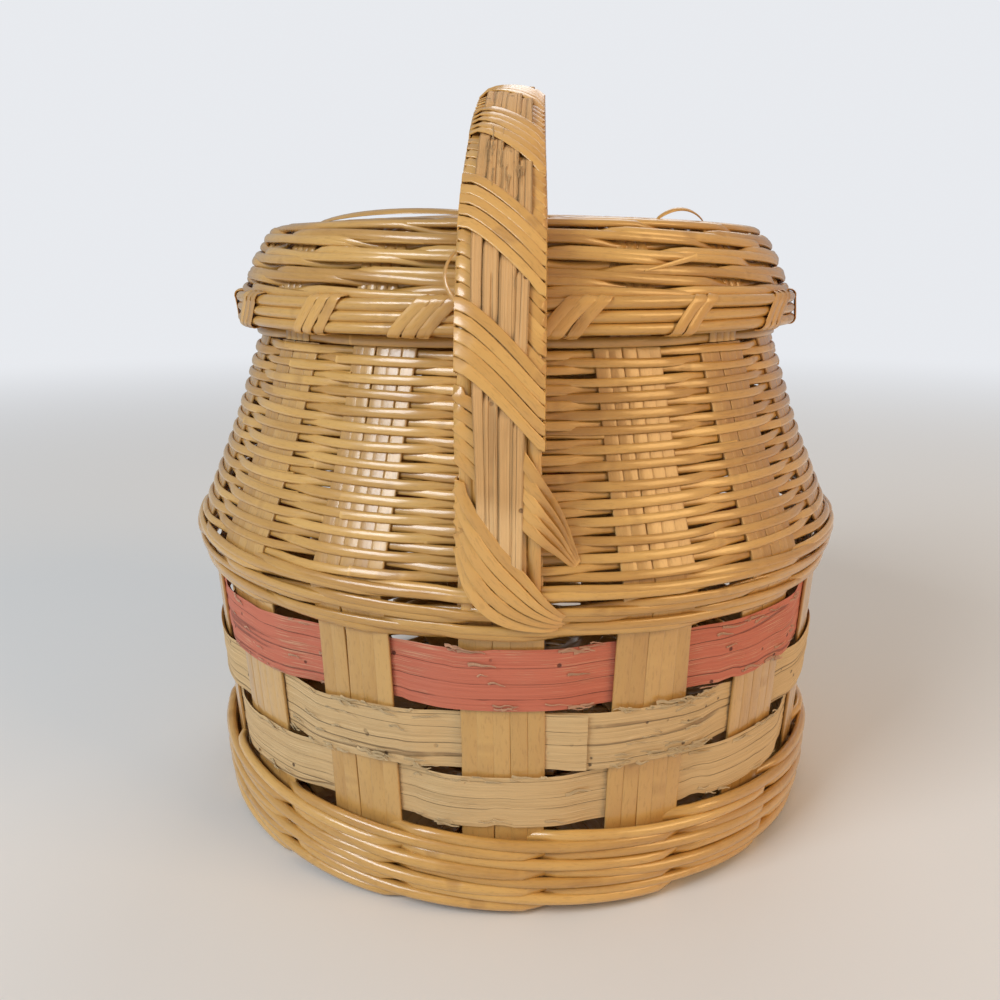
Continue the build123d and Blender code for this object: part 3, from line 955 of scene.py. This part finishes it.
ARCH = arch_table()
ARCH_LENGTH = ARCH[-1][0]
BOW_LENGTH = ARCH_LENGTH + 2 * LEG


def bow_at(along):
    """Place and outward direction on the bow, from its front foot."""
    if along <= LEG:
        return Vector((0, -BOW_REACH, BOW_FOOT + along)), Vector((0, -1, 0))
    if along >= LEG + ARCH_LENGTH:
        down = along - LEG - ARCH_LENGTH
        return Vector((0, BOW_REACH, BOW_SPRING - down)), Vector((0, 1, 0))
    share = (along - LEG) / ARCH_LENGTH * (len(ARCH) - 1)
    step = min(len(ARCH) - 2, int(share))
    while ARCH[step][0] > along - LEG:
        step -= 1
    while ARCH[step + 1][0] < along - LEG:
        step += 1
    (d0, a0), (d1, a1) = ARCH[step], ARCH[step + 1]
    a = mix(a0, a1, (along - LEG - d0) / (d1 - d0))
    onward = Vector((0, BOW_REACH * math.sin(a), BOW_RISE * math.cos(a))).normalized()
    place = Vector((0, -BOW_REACH * math.cos(a), BOW_SPRING + BOW_RISE * math.sin(a)))
    return place, Vector((0, -onward.z, onward.y))


def on_bow(along, across, proud):
    """A point beside and proud of the bow, which narrows and rounds off toward its crown."""
    place, out = bow_at(along)
    crown = ease(place.z, *CROWN_HEIGHTS)
    camber = CROWN_FALL * crown * min(1.2, abs(across) / FACE) ** 2.5
    aside = Vector((across * mix(1, CROWN_NARROW, crown), 0, 0))
    return place + out * (proud - camber) + aside, out


def leg_tuck(along):
    """How far the bow's canes lie in at their feet, against the stakes and behind the waist rows."""
    height = BOW_FOOT + min(along, BOW_LENGTH - along)
    if height > TUCK_HEIGHTS[1]:
        return 0
    return (BOW_REACH - stake_radius(height) - 1.65 * MM) * (1 - ease(height, *TUCK_HEIGHTS))


def strips_along(weaving, rng, total, wide, pitch, thick, proud, foot):
    """Canes side by side along the bow, from foot above its one end to foot above the other."""
    wobble = 0.25 * MM
    for k in range(total):
        shift = (k - (total - 1) / 2) * pitch
        a0 = foot + rng.uniform(-1, 1) * 2 * MM
        a1 = BOW_LENGTH - foot + rng.uniform(-1, 1) * 2 * MM
        steps = int((a1 - a0) / (6 * MM))
        stations = []
        for i in range(steps + 1):
            d = mix(a0, a1, i / steps)
            x = shift + drift(k + pitch * 900, d * 14, wobble)
            depth = proud - leg_tuck(d) + drift(k + 33 + pitch * 500, d * 20, wobble * 0.4)
            stations.append(on_bow(d, x, depth))
        weaving.cane(stations, wide, thick, rng.uniform(0.2, 0.8), 8, 0.6)


FIRST_STRAND = 8.1 * MM         # phase of the winding, above the front foot
STRAND_TURNS = 11
STRAND_TURN = (BOW_LENGTH - 2 * FIRST_STRAND) / STRAND_TURNS
TAILS_EDGE = 26 * MM            # from a foot up to the tails that cross the leader


def strand_fall(share):
    """Share of a turn that a strand has fallen at a share of its way across the outer face."""
    return 0.5 * max(0, share) ** 1.25


def over_leader(along, across):
    """1 where the strands at a place on the outer face pass over the leader, 0 where under."""
    fall = strand_fall((across + FACE) / (2 * FACE))
    turn = (along - FIRST_STRAND) / STRAND_TURN + fall - 0.5
    if turn < 0.9 or turn > STRAND_TURNS - 1.4:
        foot, aside = (along, across) if turn < 0.9 else (BOW_LENGTH - along, -across)
        return 1 - ease(foot + 1.2 * aside, TAILS_EDGE - 2 * MM, TAILS_EDGE + 2 * MM)
    turn %= 1
    return ease(turn, -0.03, 0.03) - ease(turn, 0.47, 0.53) + ease(turn, 0.97, 1.03)


LEADER_WIDE = 22.5 * MM
LEADER_FEET = 17.4 * MM         # its width at the feet
CRUSHED = (172, 182, 190, 198)  # where the leader is crushed, in mm from the front foot


def leader_depth(along, across):
    """How proud the leader stands: free, or held down by the strands."""
    return mix(2.75 * MM, 1.45 * MM, over_leader(along, across))


class CREEL_OT_handle(bpy.types.Operator):
    """The bow's flat canes, and the core canes inside it"""
    bl_idname = "creel.handle"
    bl_label = "Bow"

    def execute(self, context):
        rng = random.Random(44)
        weaving = Weaving()
        strips_along(weaving, rng, 6, 5.15 * MM, 5.2 * MM, 1.6 * MM, 0, 1 * MM)
        weaving.finish("bow_canes", "basket", "handle_cane", handle_cane(), "handle_bow")
        weaving = Weaving()
        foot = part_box("handle_core")[0].z - BOW_FOOT
        strips_along(weaving, rng, 5, 5.6 * MM, 5.7 * MM, 2.6 * MM, -2.4 * MM, foot)
        weaving.finish("core_canes", "basket", "handle_cane", handle_cane(), "handle_core")
        return {"FINISHED"}


class CREEL_OT_leader(bpy.types.Operator):
    """Rough strips that the strands are wound over and under"""
    bl_idname = "creel.leader"
    bl_label = "Leader"

    def execute(self, context):
        rng = random.Random(45)
        weaving = Weaving()
        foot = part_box("handle_leader")[0].z - BOW_FOOT
        seams = (0, 0.2, 0.47, 0.76, 1)
        begin, full, less, end = CRUSHED
        for k, (left, right) in enumerate(zip(seams, seams[1:])):
            a0 = foot + rng.uniform(-3, 0) * MM - right * 7 * MM
            a1 = BOW_LENGTH - foot + rng.uniform(0, 3) * MM + (1 - left) * 7 * MM
            steps = int((a1 - a0) / (3.2 * MM))
            stations = []
            for i in range(steps + 1):
                d = mix(a0, a1, i / steps)
                middle = abs(d - BOW_LENGTH / 2) / (BOW_LENGTH / 2)
                span = mix(LEADER_WIDE, LEADER_FEET, ease(middle, 0.5, 0.95))
                x = ((left + right) / 2 - 0.5) * span + drift(k + 2, d * 13, 0.2 * MM)
                ripple = drift(k + 9, d * 45, 0.2 * MM)
                crushed = ease(d, begin * MM, full * MM) - ease(d, less * MM, end * MM)
                ripple += crushed * drift(k + 19, d * 160, 0.8 * MM)
                place, out = on_bow(d, x, leader_depth(d, x) + ripple)
                stations.append((place, out, span / LEADER_WIDE * (1 + drift(k + 5, d * 30, 0.04))))
            weaving.cane(stations, (right - left) * LEADER_WIDE, 0.9 * MM, rng.uniform(0.3, 0.9), 14, 0.22)
        for index in range(50):
            d = rng.choice((rng.uniform(foot, BOW_LENGTH - foot), rng.uniform(begin, end) * MM))
            x = rng.uniform(-8, 8) * MM
            if over_leader(d, x) > 0.2:
                continue
            span = rng.uniform(3, 11) * MM * rng.choice((-1, 1))
            lift = rng.uniform(0.2, 0.9) * MM
            stations = []
            for i in range(6):
                t = i / 5
                aside = x + drift(index, t, 0.5 * MM)
                place, out = on_bow(d + span * t, aside, 3.3 * MM + lift * t * t)
                stations.append((place, out, 1 - 0.7 * t))
            weaving.cane(stations, rng.uniform(0.3, 0.7) * MM, 0.25 * MM, rng.uniform(0.4, 1), 6, 0.9)
        weaving.finish("leader_strips", "basket", "natural_splint", rough_leader(), "handle_leader")
        return {"FINISHED"}


FACE_SHARE = 0.47               # of a turn, across a face of the bow
EDGE_SHARE = 0.03               # of a turn, round an edge
EDGE_BULGE = 1.2 * MM


def round_the_bow(share, low, high):
    """Across and proud of the bow, its facing, and how far it has fallen, at a share of a turn."""
    share %= 1
    if share < FACE_SHARE:
        t = share / FACE_SHARE
        return mix(-FACE, FACE, t), high, (0, 1), strand_fall(t)
    if 0.5 <= share < 0.5 + FACE_SHARE:
        t = (share - 0.5) / FACE_SHARE
        return mix(FACE, -FACE, t), low, (0, -1), 0.5 + t * 0.5
    side, fall = (1, 0.5) if share < 0.5 else (-1, 1.0)
    t = (share + EDGE_SHARE - fall) / EDGE_SHARE
    a = side * math.pi / 2 - math.pi * t
    out, up = math.cos(a), math.sin(a)
    return side * FACE + EDGE_BULGE * out, (low + high) / 2 + (high - low) / 2 * up, (out, up), fall


UNDER_BOW = -4.2 * MM           # where the strands pass inside the bow
STRAND_PROUD = (1.3 * MM, 2.9 * MM)     # how proud they lie outside, under and over the leader
SETTLE = (4 * MM, 11 * MM)      # how far their last turn slips down toward the foot


class CREEL_OT_strands(bpy.types.Operator):
    """Strands wound side by side round the handle, and their tails in the waist"""
    bl_idname = "creel.strands"
    bl_label = "Handle strands"

    def execute(self, context):
        rng = random.Random(46)
        weaving = Weaving()
        strands = sizes().strands
        half = strands // 2
        turned = Matrix.Rotation(math.pi, 3, "Z")
        for k in range(strands):
            over = k < half
            partner = half - 1 - k if over else 3 * half - 1 - k
            first = self.tail(partner, over)[::-1]
            stations = [(turned @ place, turned @ face, wide) for place, face, wide in first]
            stations += self.winding(k, partner, over) + self.tail(k, over)
            tone = rng.uniform(0.35, 0.95)
            weaving.cane(stations, sizes().strand_wide, sizes().strand_thick, tone, 12, 0.34)
        self.loose_loop(weaving)
        weaving.finish("handle_strands", "basket", "handle_cane", handle_cane(), "handle_wraps")
        return {"FINISHED"}

    def winding(self, k, partner, over):
        """A strand's turns round the handle, from the back foot to the front one."""
        strands = sizes().strands
        phase = (k + 0.5) / strands
        low = phase + 0.5
        high = STRAND_TURNS - 0.5 - (partner + 0.5) / strands
        shares = ([i * 0.0587 for i in range(9)] + [0.478, 0.485, 0.492]
                  + [0.5 + i * 0.0783 for i in range(7)] + [0.978, 0.985, 0.992])
        laid = []
        for turn in range(STRAND_TURNS + 1):
            for share in shares:
                across, proud, normal, fall = round_the_bow(share, UNDER_BOW, STRAND_PROUD[over])
                reach = phase + STRAND_TURNS - turn - fall + 0.5
                if not low - 0.001 <= reach <= high + 0.001:
                    continue
                slack = ease(reach, high - 0.5, high) - 1 + ease(reach, low, low + 0.5)
                d = FIRST_STRAND + reach * STRAND_TURN + slack * SETTLE[over]
                d += drift(k + 60, turn * 2.0 + share * 2, 0.5 * MM)
                if over and normal[1] > 0.9:
                    bulge = 1 - (across / FACE) ** 2
                    proud = mix(1.7 * MM, proud, ease(bulge, 0.08, 0.5)) + 0.25 * MM * bulge
                laid.append((d, across, proud, normal))
        pitch = STRAND_TURN / strands
        stations = []
        for i, (d, across, proud, normal) in enumerate(laid):
            before, after = laid[max(0, i - 1)], laid[min(len(laid) - 1, i + 1)]
            aside = math.hypot(after[1] - before[1], after[2] - before[2])
            room = pitch * aside / math.hypot(aside, after[0] - before[0])
            place, out = on_bow(d, across, proud)
            face = Vector((normal[0], 0, 0)) + out * normal[1]
            stations.append((place, face, room / sizes().strand_wide))
        return stations

    def tail(self, k, over):
        """The end of a strand: from the left edge of a leg down to a shared tip behind the waist.

        It follows a curve with four corners, in mm across the leg and up from the floor.
        """
        half = sizes().strands // 2
        rank = (k if over else k - half) / (half - 1)
        reach = (k + 0.5) / (2 * half) + 0.5
        left = (BOW_FOOT + FIRST_STRAND + reach * STRAND_TURN - SETTLE[over]) / MM
        if over:
            corners = [(-15.2, left - 1),
                       (mix(-14.2, -9, rank), mix(152, 181, rank)),
                       (mix(-4, 8, rank), mix(139.5, 160, rank)),
                       (mix(27.5, 28.5, rank), mix(138.6, 141, rank))]
        else:
            corners = [(-16.0, left - 1),
                       (mix(-2, 0, rank), mix(195.5, 225, rank)),
                       (mix(14, 20, rank), mix(178.5, 196, rank)),
                       (mix(29, 30.5, rank), mix(162, 164.5, rank))]
        stations = []
        steps = 24
        for i in range(1, steps + 1):
            t = i / steps
            w = ((1 - t) ** 3, 3 * t * (1 - t) ** 2, 3 * t * t * (1 - t), t ** 3)
            x = sum(share * corner[0] for share, corner in zip(w, corners)) * MM
            z = sum(share * corner[1] for share, corner in zip(w, corners)) * MM
            rows = stake_radius(z) + (4.2 + 0.4 * rank) * MM + bow_room(math.acos(x / BELLY))
            near = rows - 3.6 * MM * ease(t, 0.9, 1)
            wall = math.sqrt(near ** 2 - x ** 2)
            lift = (2.9 if over else mix(1.3, 2.6, ease(x, 2 * MM, 12 * MM))) * MM
            lift = mix(1.5 * MM, lift, ease(x, -FACE, -FACE * 0.6)) + 0.12 * MM * (k % 2)
            leave = ease(t, 0.5, 0.86) if over else ease(x, 14 * MM, 26 * MM)
            y = mix(BOW_REACH + lift, wall, leave)
            swell = mix(1.12, 0.42, ease(t, 0.55, 1))
            stations.append((Vector((x, -y, z)), Vector((0, -1, 0.05 * t)), swell))
        return stations

    def loose_loop(self, weaving):
        """A thin strand that has sprung off the handle's edge."""
        stations = []
        for i in range(15):
            t = i / 14
            spring = math.sin(math.pi * t) ** 0.8
            aside = -FACE - (0.8 + 4.6 * spring) * MM
            place, out = on_bow(LEG + mix(50, 71, t) * MM, aside, 0.4 * MM)
            stations.append((place, out + Vector((-0.6, 0, 0)), 1))
        weaving.cane(stations, 1.7 * MM, 0.5 * MM, 0.1, 8, 0.6)


# ---- the lid ----------------------------------------------------------------------------------
LID_SKIRT_TOP = 266.9 * MM
LID_SHOULDER = 129.5 * MM       # radius where the wall turns in to the top
LID_SHOULDER_HEIGHT = 292 * MM
LID_EDGE_HEIGHT = 296.5 * MM
TOP_DEPTH = 2.0 * MM            # from the top's upper face down to the middle of its rows
LID_STAKE_DEPTH = 4.6 * MM      # from the wall's outside in to the lid's stakes


def rows_height(radius):
    """Middle of the rows on the lid's top, which is slightly domed."""
    return mix(LID_CROWN, LID_EDGE_HEIGHT, (radius / LID_EDGE) ** 2) - TOP_DEPTH


def lid_profile():
    """Radius and height up the lid's wall by the distance along it."""
    half_way = mix(LID_WALL, LID_SHOULDER, 0.52) + 0.6 * MM
    knots = [(LID_WALL - 1.2 * MM, ROD_TOP - 3 * MM),
             (LID_WALL - 0.6 * MM, LID_SKIRT_TOP),
             (half_way, mix(LID_SKIRT_TOP, LID_SHOULDER_HEIGHT, 0.55)),
             (LID_SHOULDER, LID_SHOULDER_HEIGHT),
             (LID_SHOULDER - 4 * MM, 295.4 * MM),
             (LID_EDGE, LID_EDGE_HEIGHT + 0.6 * MM)]
    line = [(0.0, *knots[0])]
    for (r0, z0), (r1, z1) in zip(knots, knots[1:]):
        line.append((line[-1][0] + math.hypot(r1 - r0, z1 - z0), r1, z1))
    return line


LID_LINE = lid_profile()
LID_LENGTH = LID_LINE[-1][0]


def lid_wall_at(along):
    """Radius and height at a distance up the lid's wall."""
    along = min(LID_LENGTH - 1e-6, max(0, along))
    for (s0, r0, z0), (s1, r1, z1) in zip(LID_LINE, LID_LINE[1:]):
        if along <= s1:
            t = (along - s0) / (s1 - s0)
            return mix(r0, r1, t), mix(z0, z1, t)


def lid_wall_facing(along):
    """Radial and upright parts of the lid wall's outward direction."""
    r0, z0 = lid_wall_at(along - 2.5 * MM)
    r1, z1 = lid_wall_at(along + 2.5 * MM)
    size = math.hypot(r1 - r0, z1 - z0)
    return (z1 - z0) / size, (r0 - r1) / size


class CREEL_OT_lid_rods(bpy.types.Operator):
    """Three rods stacked round the lid's rim"""
    bl_idname = "creel.lid_rods"
    bl_label = "Lid rim rods"

    def execute(self, context):
        rng = random.Random(60)
        thick = sizes().rim_rod
        ring = ROD_OUTSIDE - thick / 2
        span = TURN + 0.22
        steps = 200
        for index in range(3):
            height = ROD_TOP - (2.5 - index) * thick
            weaving = Weaving()
            start = rng.uniform(0, TURN)
            stations = []
            for i in range(steps + 1):
                a = start + span * i / steps
                z = height + drift(index + 70, i * 0.06, 0.4 * MM)
                tuck = ease(i, steps - 10, steps) * 2.4 * MM
                r = ring + drift(index + 80, i * 0.07, 0.3 * MM) - tuck
                point = 0.5 * ease(abs(i - steps / 2), steps / 2 - 8, steps / 2)
                scale = 1 + drift(index + 90, i * 0.05, 0.08) - point
                stations.append((ring_point(r, a, z), facing(a, 1, 0), scale))
            weaving.cane(stations, thick, thick, rng.uniform(0.3, 0.8), 12, 0.95)
            weaving.finish(f"rim_rod_{index + 1}", "lid", "cane", cane(), f"lid_rim_rod_{index + 1}")
        return {"FINISHED"}


class CREEL_OT_lashings(bpy.types.Operator):
    """Flat strips lashed round the rim rods, leaning as they go"""
    bl_idname = "creel.lashings"
    bl_label = "Rim lashings"

    def execute(self, context):
        rng = random.Random(61)
        rod = sizes().rim_rod
        ring = ROD_OUTSIDE - rod / 2
        middle = ROD_TOP - 1.5 * rod
        half_wide = rod / 2 + 0.42 * MM
        half_high = 1.5 * rod + 0.7 * MM
        weaving = Weaving()
        for place in range(STAKES):
            centre = FRONT + (place + 0.5) * STAKE_TURN + rng.uniform(-0.02, 0.02)
            slope = rng.uniform(14, 19) * MM
            strips = rng.choice((2, 3, 3))
            wide = rng.uniform(4.6, 5.4) * MM
            for k in range(strips):
                offset = (k - (strips - 1) / 2) * wide * 1.3 + rng.uniform(-0.4, 0.4) * MM
                lean = slope + rng.uniform(-1, 1) * MM
                tone = rng.uniform(0.2, 1.0)
                stations = []
                steps = 36
                for i in range(steps + 1):
                    t = i / steps
                    x, z, nx, nz = self.outline(t * 1.06 - 0.03, half_wide, half_high)
                    share = (t * 2) if t < 0.5 else (2 - t * 2)
                    shift = offset + lean * (share ** 1.35 - 0.5) + (t - 0.5) * 1.2 * MM
                    a = centre + shift / ring
                    face = facing(a, nx, nz)
                    lift = 0.25 * MM * math.sin(t * TURN * 2 + k) if nx > 0 else 0
                    stations.append((ring_point(ring + x, a, middle + z) + face * lift, face))
                weaving.cane(stations, wide, 0.8 * MM, tone, 8, 0.55)
        weaving.finish("rim_strips", "lid", "handle_cane", handle_cane(), "lid_rim_lashings")
        return {"FINISHED"}

    def outline(self, share, half_wide, half_high):
        """A point and facing on the slot round the rods, from its foot up the outside and back."""
        share %= 1
        straight = half_high - half_wide
        bend = math.pi * half_wide
        around = 2 * bend + 4 * straight
        d = share * around - bend / 2
        if d < 0:
            side, height, a = 1, -straight, d / half_wide
        elif d < 2 * straight:
            side, height, a = 1, d - straight, 0
        elif d < 2 * straight + bend:
            side, height, a = 1, straight, (d - 2 * straight) / half_wide
        elif d < 4 * straight + bend:
            side, height, a = -1, straight - (d - 2 * straight - bend), 0
        else:
            side, height, a = -1, -straight, (d - 4 * straight - bend) / half_wide
        out, up = side * math.cos(a), side * math.sin(a)
        return half_wide * out, height + half_wide * up, out, up


def lid_place(thick):
    """Where a waled rod lies on the lid's wall."""
    def line(level, a, spot, over):
        r, z = lid_wall_at(level)
        out, up = lid_wall_facing(level)
        depth = wale_depth(spot, over, -thick / 2, -thick * 1.5 - 1.2 * MM)
        face = facing(a, out, up)
        return ring_point(r, a, z) + face * depth, face
    return line


class CREEL_OT_lid_wall(bpy.types.Operator):
    """Thick canes waled round the lid's wall, and the rows behind the rods"""
    bl_idname = "creel.lid_wall"
    bl_label = "Lid wall"

    def execute(self, context):
        rng = random.Random(62)
        weaving = Weaving()
        wide = sizes().lid_cane
        thick = 3.0 * MM
        low = wide * 0.7
        top = LID_LENGTH - wide * 0.2
        rounds = max(2, math.ceil(top / (2 * wide)))
        wale(weaving, rng, low, top - low, rounds, 2, wide * 1.04, thick, lid_place(thick), 0.9 * MM, 3.1)
        self.loose_arc(weaving, -59, -45, LID_EDGE_HEIGHT - 1 * MM, 5.5 * MM, 2.2 * MM)
        self.splinter(weaving)
        self.loose_arc(weaving, -136, -86, LID_EDGE_HEIGHT - 1.5 * MM, 4.4 * MM, 4.2 * MM)
        self.skirt(weaving, rng)
        weaving.finish("lid_wall_canes", "lid", "cane", cane(), "lid_wall_weave")
        return {"FINISHED"}

    def skirt(self, weaving, rng):
        """The rows behind and under the rim rods, in the mouth."""
        outer = ROD_OUTSIDE - ROD_THICK - 1.9 * MM
        rows, steps = 5, 128
        for row in range(rows):
            z = mix(LID_SEAT + 2.4 * MM, LID_SKIRT_TOP - 2.4 * MM, row / (rows - 1))
            stations = []
            start = rng.uniform(0, TURN)
            for i in range(steps + 1):
                a = start + (TURN + 0.2) * i / steps
                swing = over_under(a) * (1 if row % 2 else -1)
                r = outer - 2.9 * MM + 1.4 * MM * swing - ease(i, steps - 8, steps) * 0.9 * MM
                stations.append((ring_point(r, a, z), facing(a, 1, 0)))
            weaving.cane(stations, 4.3 * MM, 1.9 * MM, rng.uniform(0.2, 0.8), 8, 0.7)

    def splinter(self, weaving):
        """A pale splinter that stands off one of the wall's canes."""
        stations = []
        for i in range(9):
            t = i / 8
            along = mix(14, 20, t) * MM
            r, z = lid_wall_at(along)
            a = math.radians(mix(-66, -55, t))
            face = facing(a, 1, 0)
            stations.append((ring_point(r, a, z) + face * mix(0.1, 1.4, t) * MM, face, mix(0.25, 1, t)))
        weaving.cane(stations, 2.8 * MM, 0.7 * MM, 1.6, 8, 0.6)

    def loose_arc(self, weaving, start, end, height, rise, wide):
        """A cane that springs off the lid's edge between two directions, in degrees."""
        stations = []
        for i in range(17):
            t = i / 16
            a = math.radians(mix(start, end, t))
            lift = rise * math.sin(math.pi * t) ** 0.7
            face = facing(a, 0.5, 0.8).normalized()
            stations.append((ring_point(LID_EDGE, a, height + lift), face, 1 - 0.5 * abs(2 * t - 1) ** 3))
        weaving.cane(stations, wide, 0.9 * MM, 0.3, 8, 0.6)


class CREEL_OT_lid_top(bpy.types.Operator):
    """Rows on the lid's top and the plaited middle"""
    bl_idname = "creel.lid_top"
    bl_label = "Lid top"

    def execute(self, context):
        rng = random.Random(63)
        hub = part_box("lid_hub")[1].x
        weaving = Weaving()
        inner, outer = hub - 1 * MM, LID_EDGE - 0.5 * MM
        flat_rows(weaving, rng, inner, outer, 20, 1.4 * MM, rows_height, 1.25 * MM, 4.4 * MM)
        weaving.finish("lid_top_rows", "lid", "cane", cane(), "lid_top_weave")
        weaving = Weaving()
        plait(weaving, rng, hub + 2 * MM, 6.6 * MM, 1.2 * MM, rows_height)
        weaving.finish("lid_plait", "lid", "stake_cane", stake_cane(), "lid_hub")
        return {"FINISHED"}


class CREEL_OT_lid_stakes(bpy.types.Operator):
    """Stakes under the lid's rows, from the middle down behind the rim"""
    bl_idname = "creel.lid_stakes"
    bl_label = "Lid stakes"

    def execute(self, context):
        rng = random.Random(64)
        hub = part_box("lid_hub")[1].x
        skirt = ROD_OUTSIDE - ROD_THICK - 4.8 * MM
        line = []
        for i in range(11):
            r = mix(hub - 4 * MM, LID_EDGE - 3 * MM, i / 10)
            line.append((r, rows_height(r), 0, 1))
        for i in range(9):
            s = mix(LID_LENGTH - 5 * MM, 4 * MM, i / 8)
            r, z = lid_wall_at(s)
            out, up = lid_wall_facing(s)
            line.append((r - LID_STAKE_DEPTH * out, z - LID_STAKE_DEPTH * up, out, up))
        line += [(skirt, mix(LID_SKIRT_TOP - 3 * MM, LID_SEAT + 0.5 * MM, i / 3), 1, 0) for i in range(4)]
        for index in range(STAKES):
            weaving = Weaving()
            for k in range(4):
                shift = (k - 1.5) * 4.9 * MM
                stations = []
                for r, z, out, up in line:
                    squeeze = mix(0.55, 1, ease(r, hub, LID_EDGE * 0.75))
                    a = stake_angle(index) + shift * squeeze / r
                    stations.append((ring_point(r, a, z), facing(a, out, up), squeeze))
                weaving.cane(stations, 4.7 * MM, 1.2 * MM, rng.uniform(0.2, 0.85), 8, 0.5)
            name = f"lid_stake_{index + 1:02d}"
            weaving.finish(f"canes_{name}", "lid", "stake_cane", stake_cane(), name)
        return {"FINISHED"}


# ---- stage ----------------------------------------------------------------------------------------
BACKDROP = (0.94, 0.96, 1.0)
BACKDROP_LEVEL = 0.86           # strength that the camera sees
ROOM_LEVEL = 0.35               # strength that falls on the creel
FLOOR_REACH = 6
FLOOR_FADE = (1.6, 2.2)         # distances over which the floor passes into the backdrop
LAMPS = (                       # place, watts, size and tint
    ("key", (-1.6, -1.5, 1.7), 39, 1.1, (0.91, 0.96, 1.0)),
    ("warm_fill", (1.9, -1.0, 1.2), 22, 1.1, (1.0, 0.62, 0.26)),
    ("back", (0.4, 1.9, 1.7), 9, 1.4, (1.0, 0.97, 0.93)),
)
CREEL_MIDDLE = Vector((0, 0, 0.17))
EYE_DISTANCE = 0.5
EYE_HEIGHT = 0.277
EYE_TILT = math.radians(90 - 14.5)
EYE_AZIMUTH = math.radians(2.05)


class CREEL_OT_stage(bpy.types.Operator):
    """Pale floor, soft lights and the camera"""
    bl_idname = "creel.stage"
    bl_label = "Stage"

    def execute(self, context):
        self.floor()
        for lamp in LAMPS:
            self.lamp(*lamp)
        world = bpy.data.worlds.new("soft_room")
        context.scene.world = world
        world.use_nodes = True
        tree = world.node_tree
        room = tree.nodes["Background"]
        room.inputs["Color"].default_value = (*BACKDROP, 1)
        path = tree.nodes.new("ShaderNodeLightPath")
        glow = tree.nodes.new("ShaderNodeMapRange")
        glow.inputs["To Min"].default_value = ROOM_LEVEL
        glow.inputs["To Max"].default_value = BACKDROP_LEVEL
        tree.links.new(path.outputs["Is Camera Ray"], glow.inputs["Value"])
        tree.links.new(glow.outputs["Result"], room.inputs["Strength"])
        self.camera()
        context.scene.view_settings.view_transform = "Standard"
        return {"FINISHED"}

    def floor(self):
        sheet = bmesh.new()
        bmesh.ops.create_grid(sheet, x_segments=1, y_segments=1, size=FLOOR_REACH)
        mesh = bpy.data.meshes.new("floor")
        sheet.to_mesh(mesh)
        sheet.free()
        floor = bpy.data.objects.new("floor", mesh)
        bpy.context.scene.collection.objects.link(floor)
        paint = Paint("pale_floor")
        direct = paint.node("ShaderNodeLightPath")["Is Camera Ray"]
        place = paint.node("ShaderNodeTexCoord")["Object"]
        away = paint.node("ShaderNodeVectorMath", {"operation": "LENGTH"}, {0: place})["Value"]
        grain = paint.noise(place, 900.0, 2.0)
        base = tuple(colours().floor)
        tone = paint.blend(grain * 0.12, base, tint(base, 0.9, 0.9, 0.9))
        matt = paint.node("ShaderNodeBsdfPrincipled", None, {"Base Color": tone, "Roughness": 0.85})
        far = paint.node("ShaderNodeEmission", None, {"Color": (*BACKDROP, 1), "Strength": BACKDROP_LEVEL})
        share = direct * away.over(*FLOOR_FADE)
        both = paint.node("ShaderNodeMixShader", None, {0: share, 1: matt["BSDF"], 2: far["Emission"]})
        paint.node("ShaderNodeOutputMaterial", None, {"Surface": both["Shader"]})
        mesh.materials.append(paint.material)

    def lamp(self, name, place, power, size, tone):
        light = bpy.data.lights.new(name, "AREA")
        light.energy = power
        light.size = size
        light.color = tone
        lamp = bpy.data.objects.new(name, light)
        lamp.location = place
        aim = CREEL_MIDDLE - Vector(place)
        lamp.rotation_euler = aim.to_track_quat("-Z", "Y").to_euler()
        bpy.context.scene.collection.objects.link(lamp)

    def camera(self):
        eye = bpy.data.cameras.new("eye")
        eye.lens = 32.4
        eye.sensor_width = 36
        eye.shift_x = -0.016
        eye.clip_start = 0.01
        camera = bpy.data.objects.new("eye", eye)
        camera.location = ring_point(EYE_DISTANCE, FRONT + EYE_AZIMUTH, EYE_HEIGHT)
        camera.rotation_euler = (EYE_TILT, 0, EYE_AZIMUTH)
        bpy.context.scene.collection.objects.link(camera)
        bpy.context.scene.camera = camera


OPERATORS = (
    CREEL_OT_base, CREEL_OT_stakes, CREEL_OT_foot, CREEL_OT_splints, CREEL_OT_waist, CREEL_OT_shoulder,
    CREEL_OT_mouth, CREEL_OT_handle, CREEL_OT_leader, CREEL_OT_strands, CREEL_OT_lid_rods,
    CREEL_OT_lashings, CREEL_OT_lid_wall, CREEL_OT_lid_top, CREEL_OT_lid_stakes, CREEL_OT_stage,
)


class CREEL_PT_panel(bpy.types.Panel):
    """Steps and sizes of the creel"""
    bl_idname = "CREEL_PT_panel"
    bl_label = "Wicker creel"
    bl_space_type = "VIEW_3D"
    bl_region_type = "UI"
    bl_category = "Creel"

    def draw(self, context):
        for group in (context.scene.creel_sizes, context.scene.creel_colours):
            box = self.layout.box()
            for key in group.__annotations__:
                box.prop(group, key)
        for operator in OPERATORS:
            self.layout.operator(operator.bl_idname)


CLASSES = (CreelSizes, CreelColours, *OPERATORS, CREEL_PT_panel)


def register():
    for cls in CLASSES:
        bpy.utils.register_class(cls)
    bpy.types.Scene.creel_sizes = PointerProperty(type=CreelSizes)
    bpy.types.Scene.creel_colours = PointerProperty(type=CreelColours)


def unregister():
    del bpy.types.Scene.creel_colours
    del bpy.types.Scene.creel_sizes
    for cls in reversed(CLASSES):
        bpy.utils.unregister_class(cls)


def main():
    register()
    for operator in OPERATORS:
        group, name = operator.bl_idname.split(".")
        getattr(getattr(bpy.ops, group), name)()


if __name__ == "__main__":
    main()
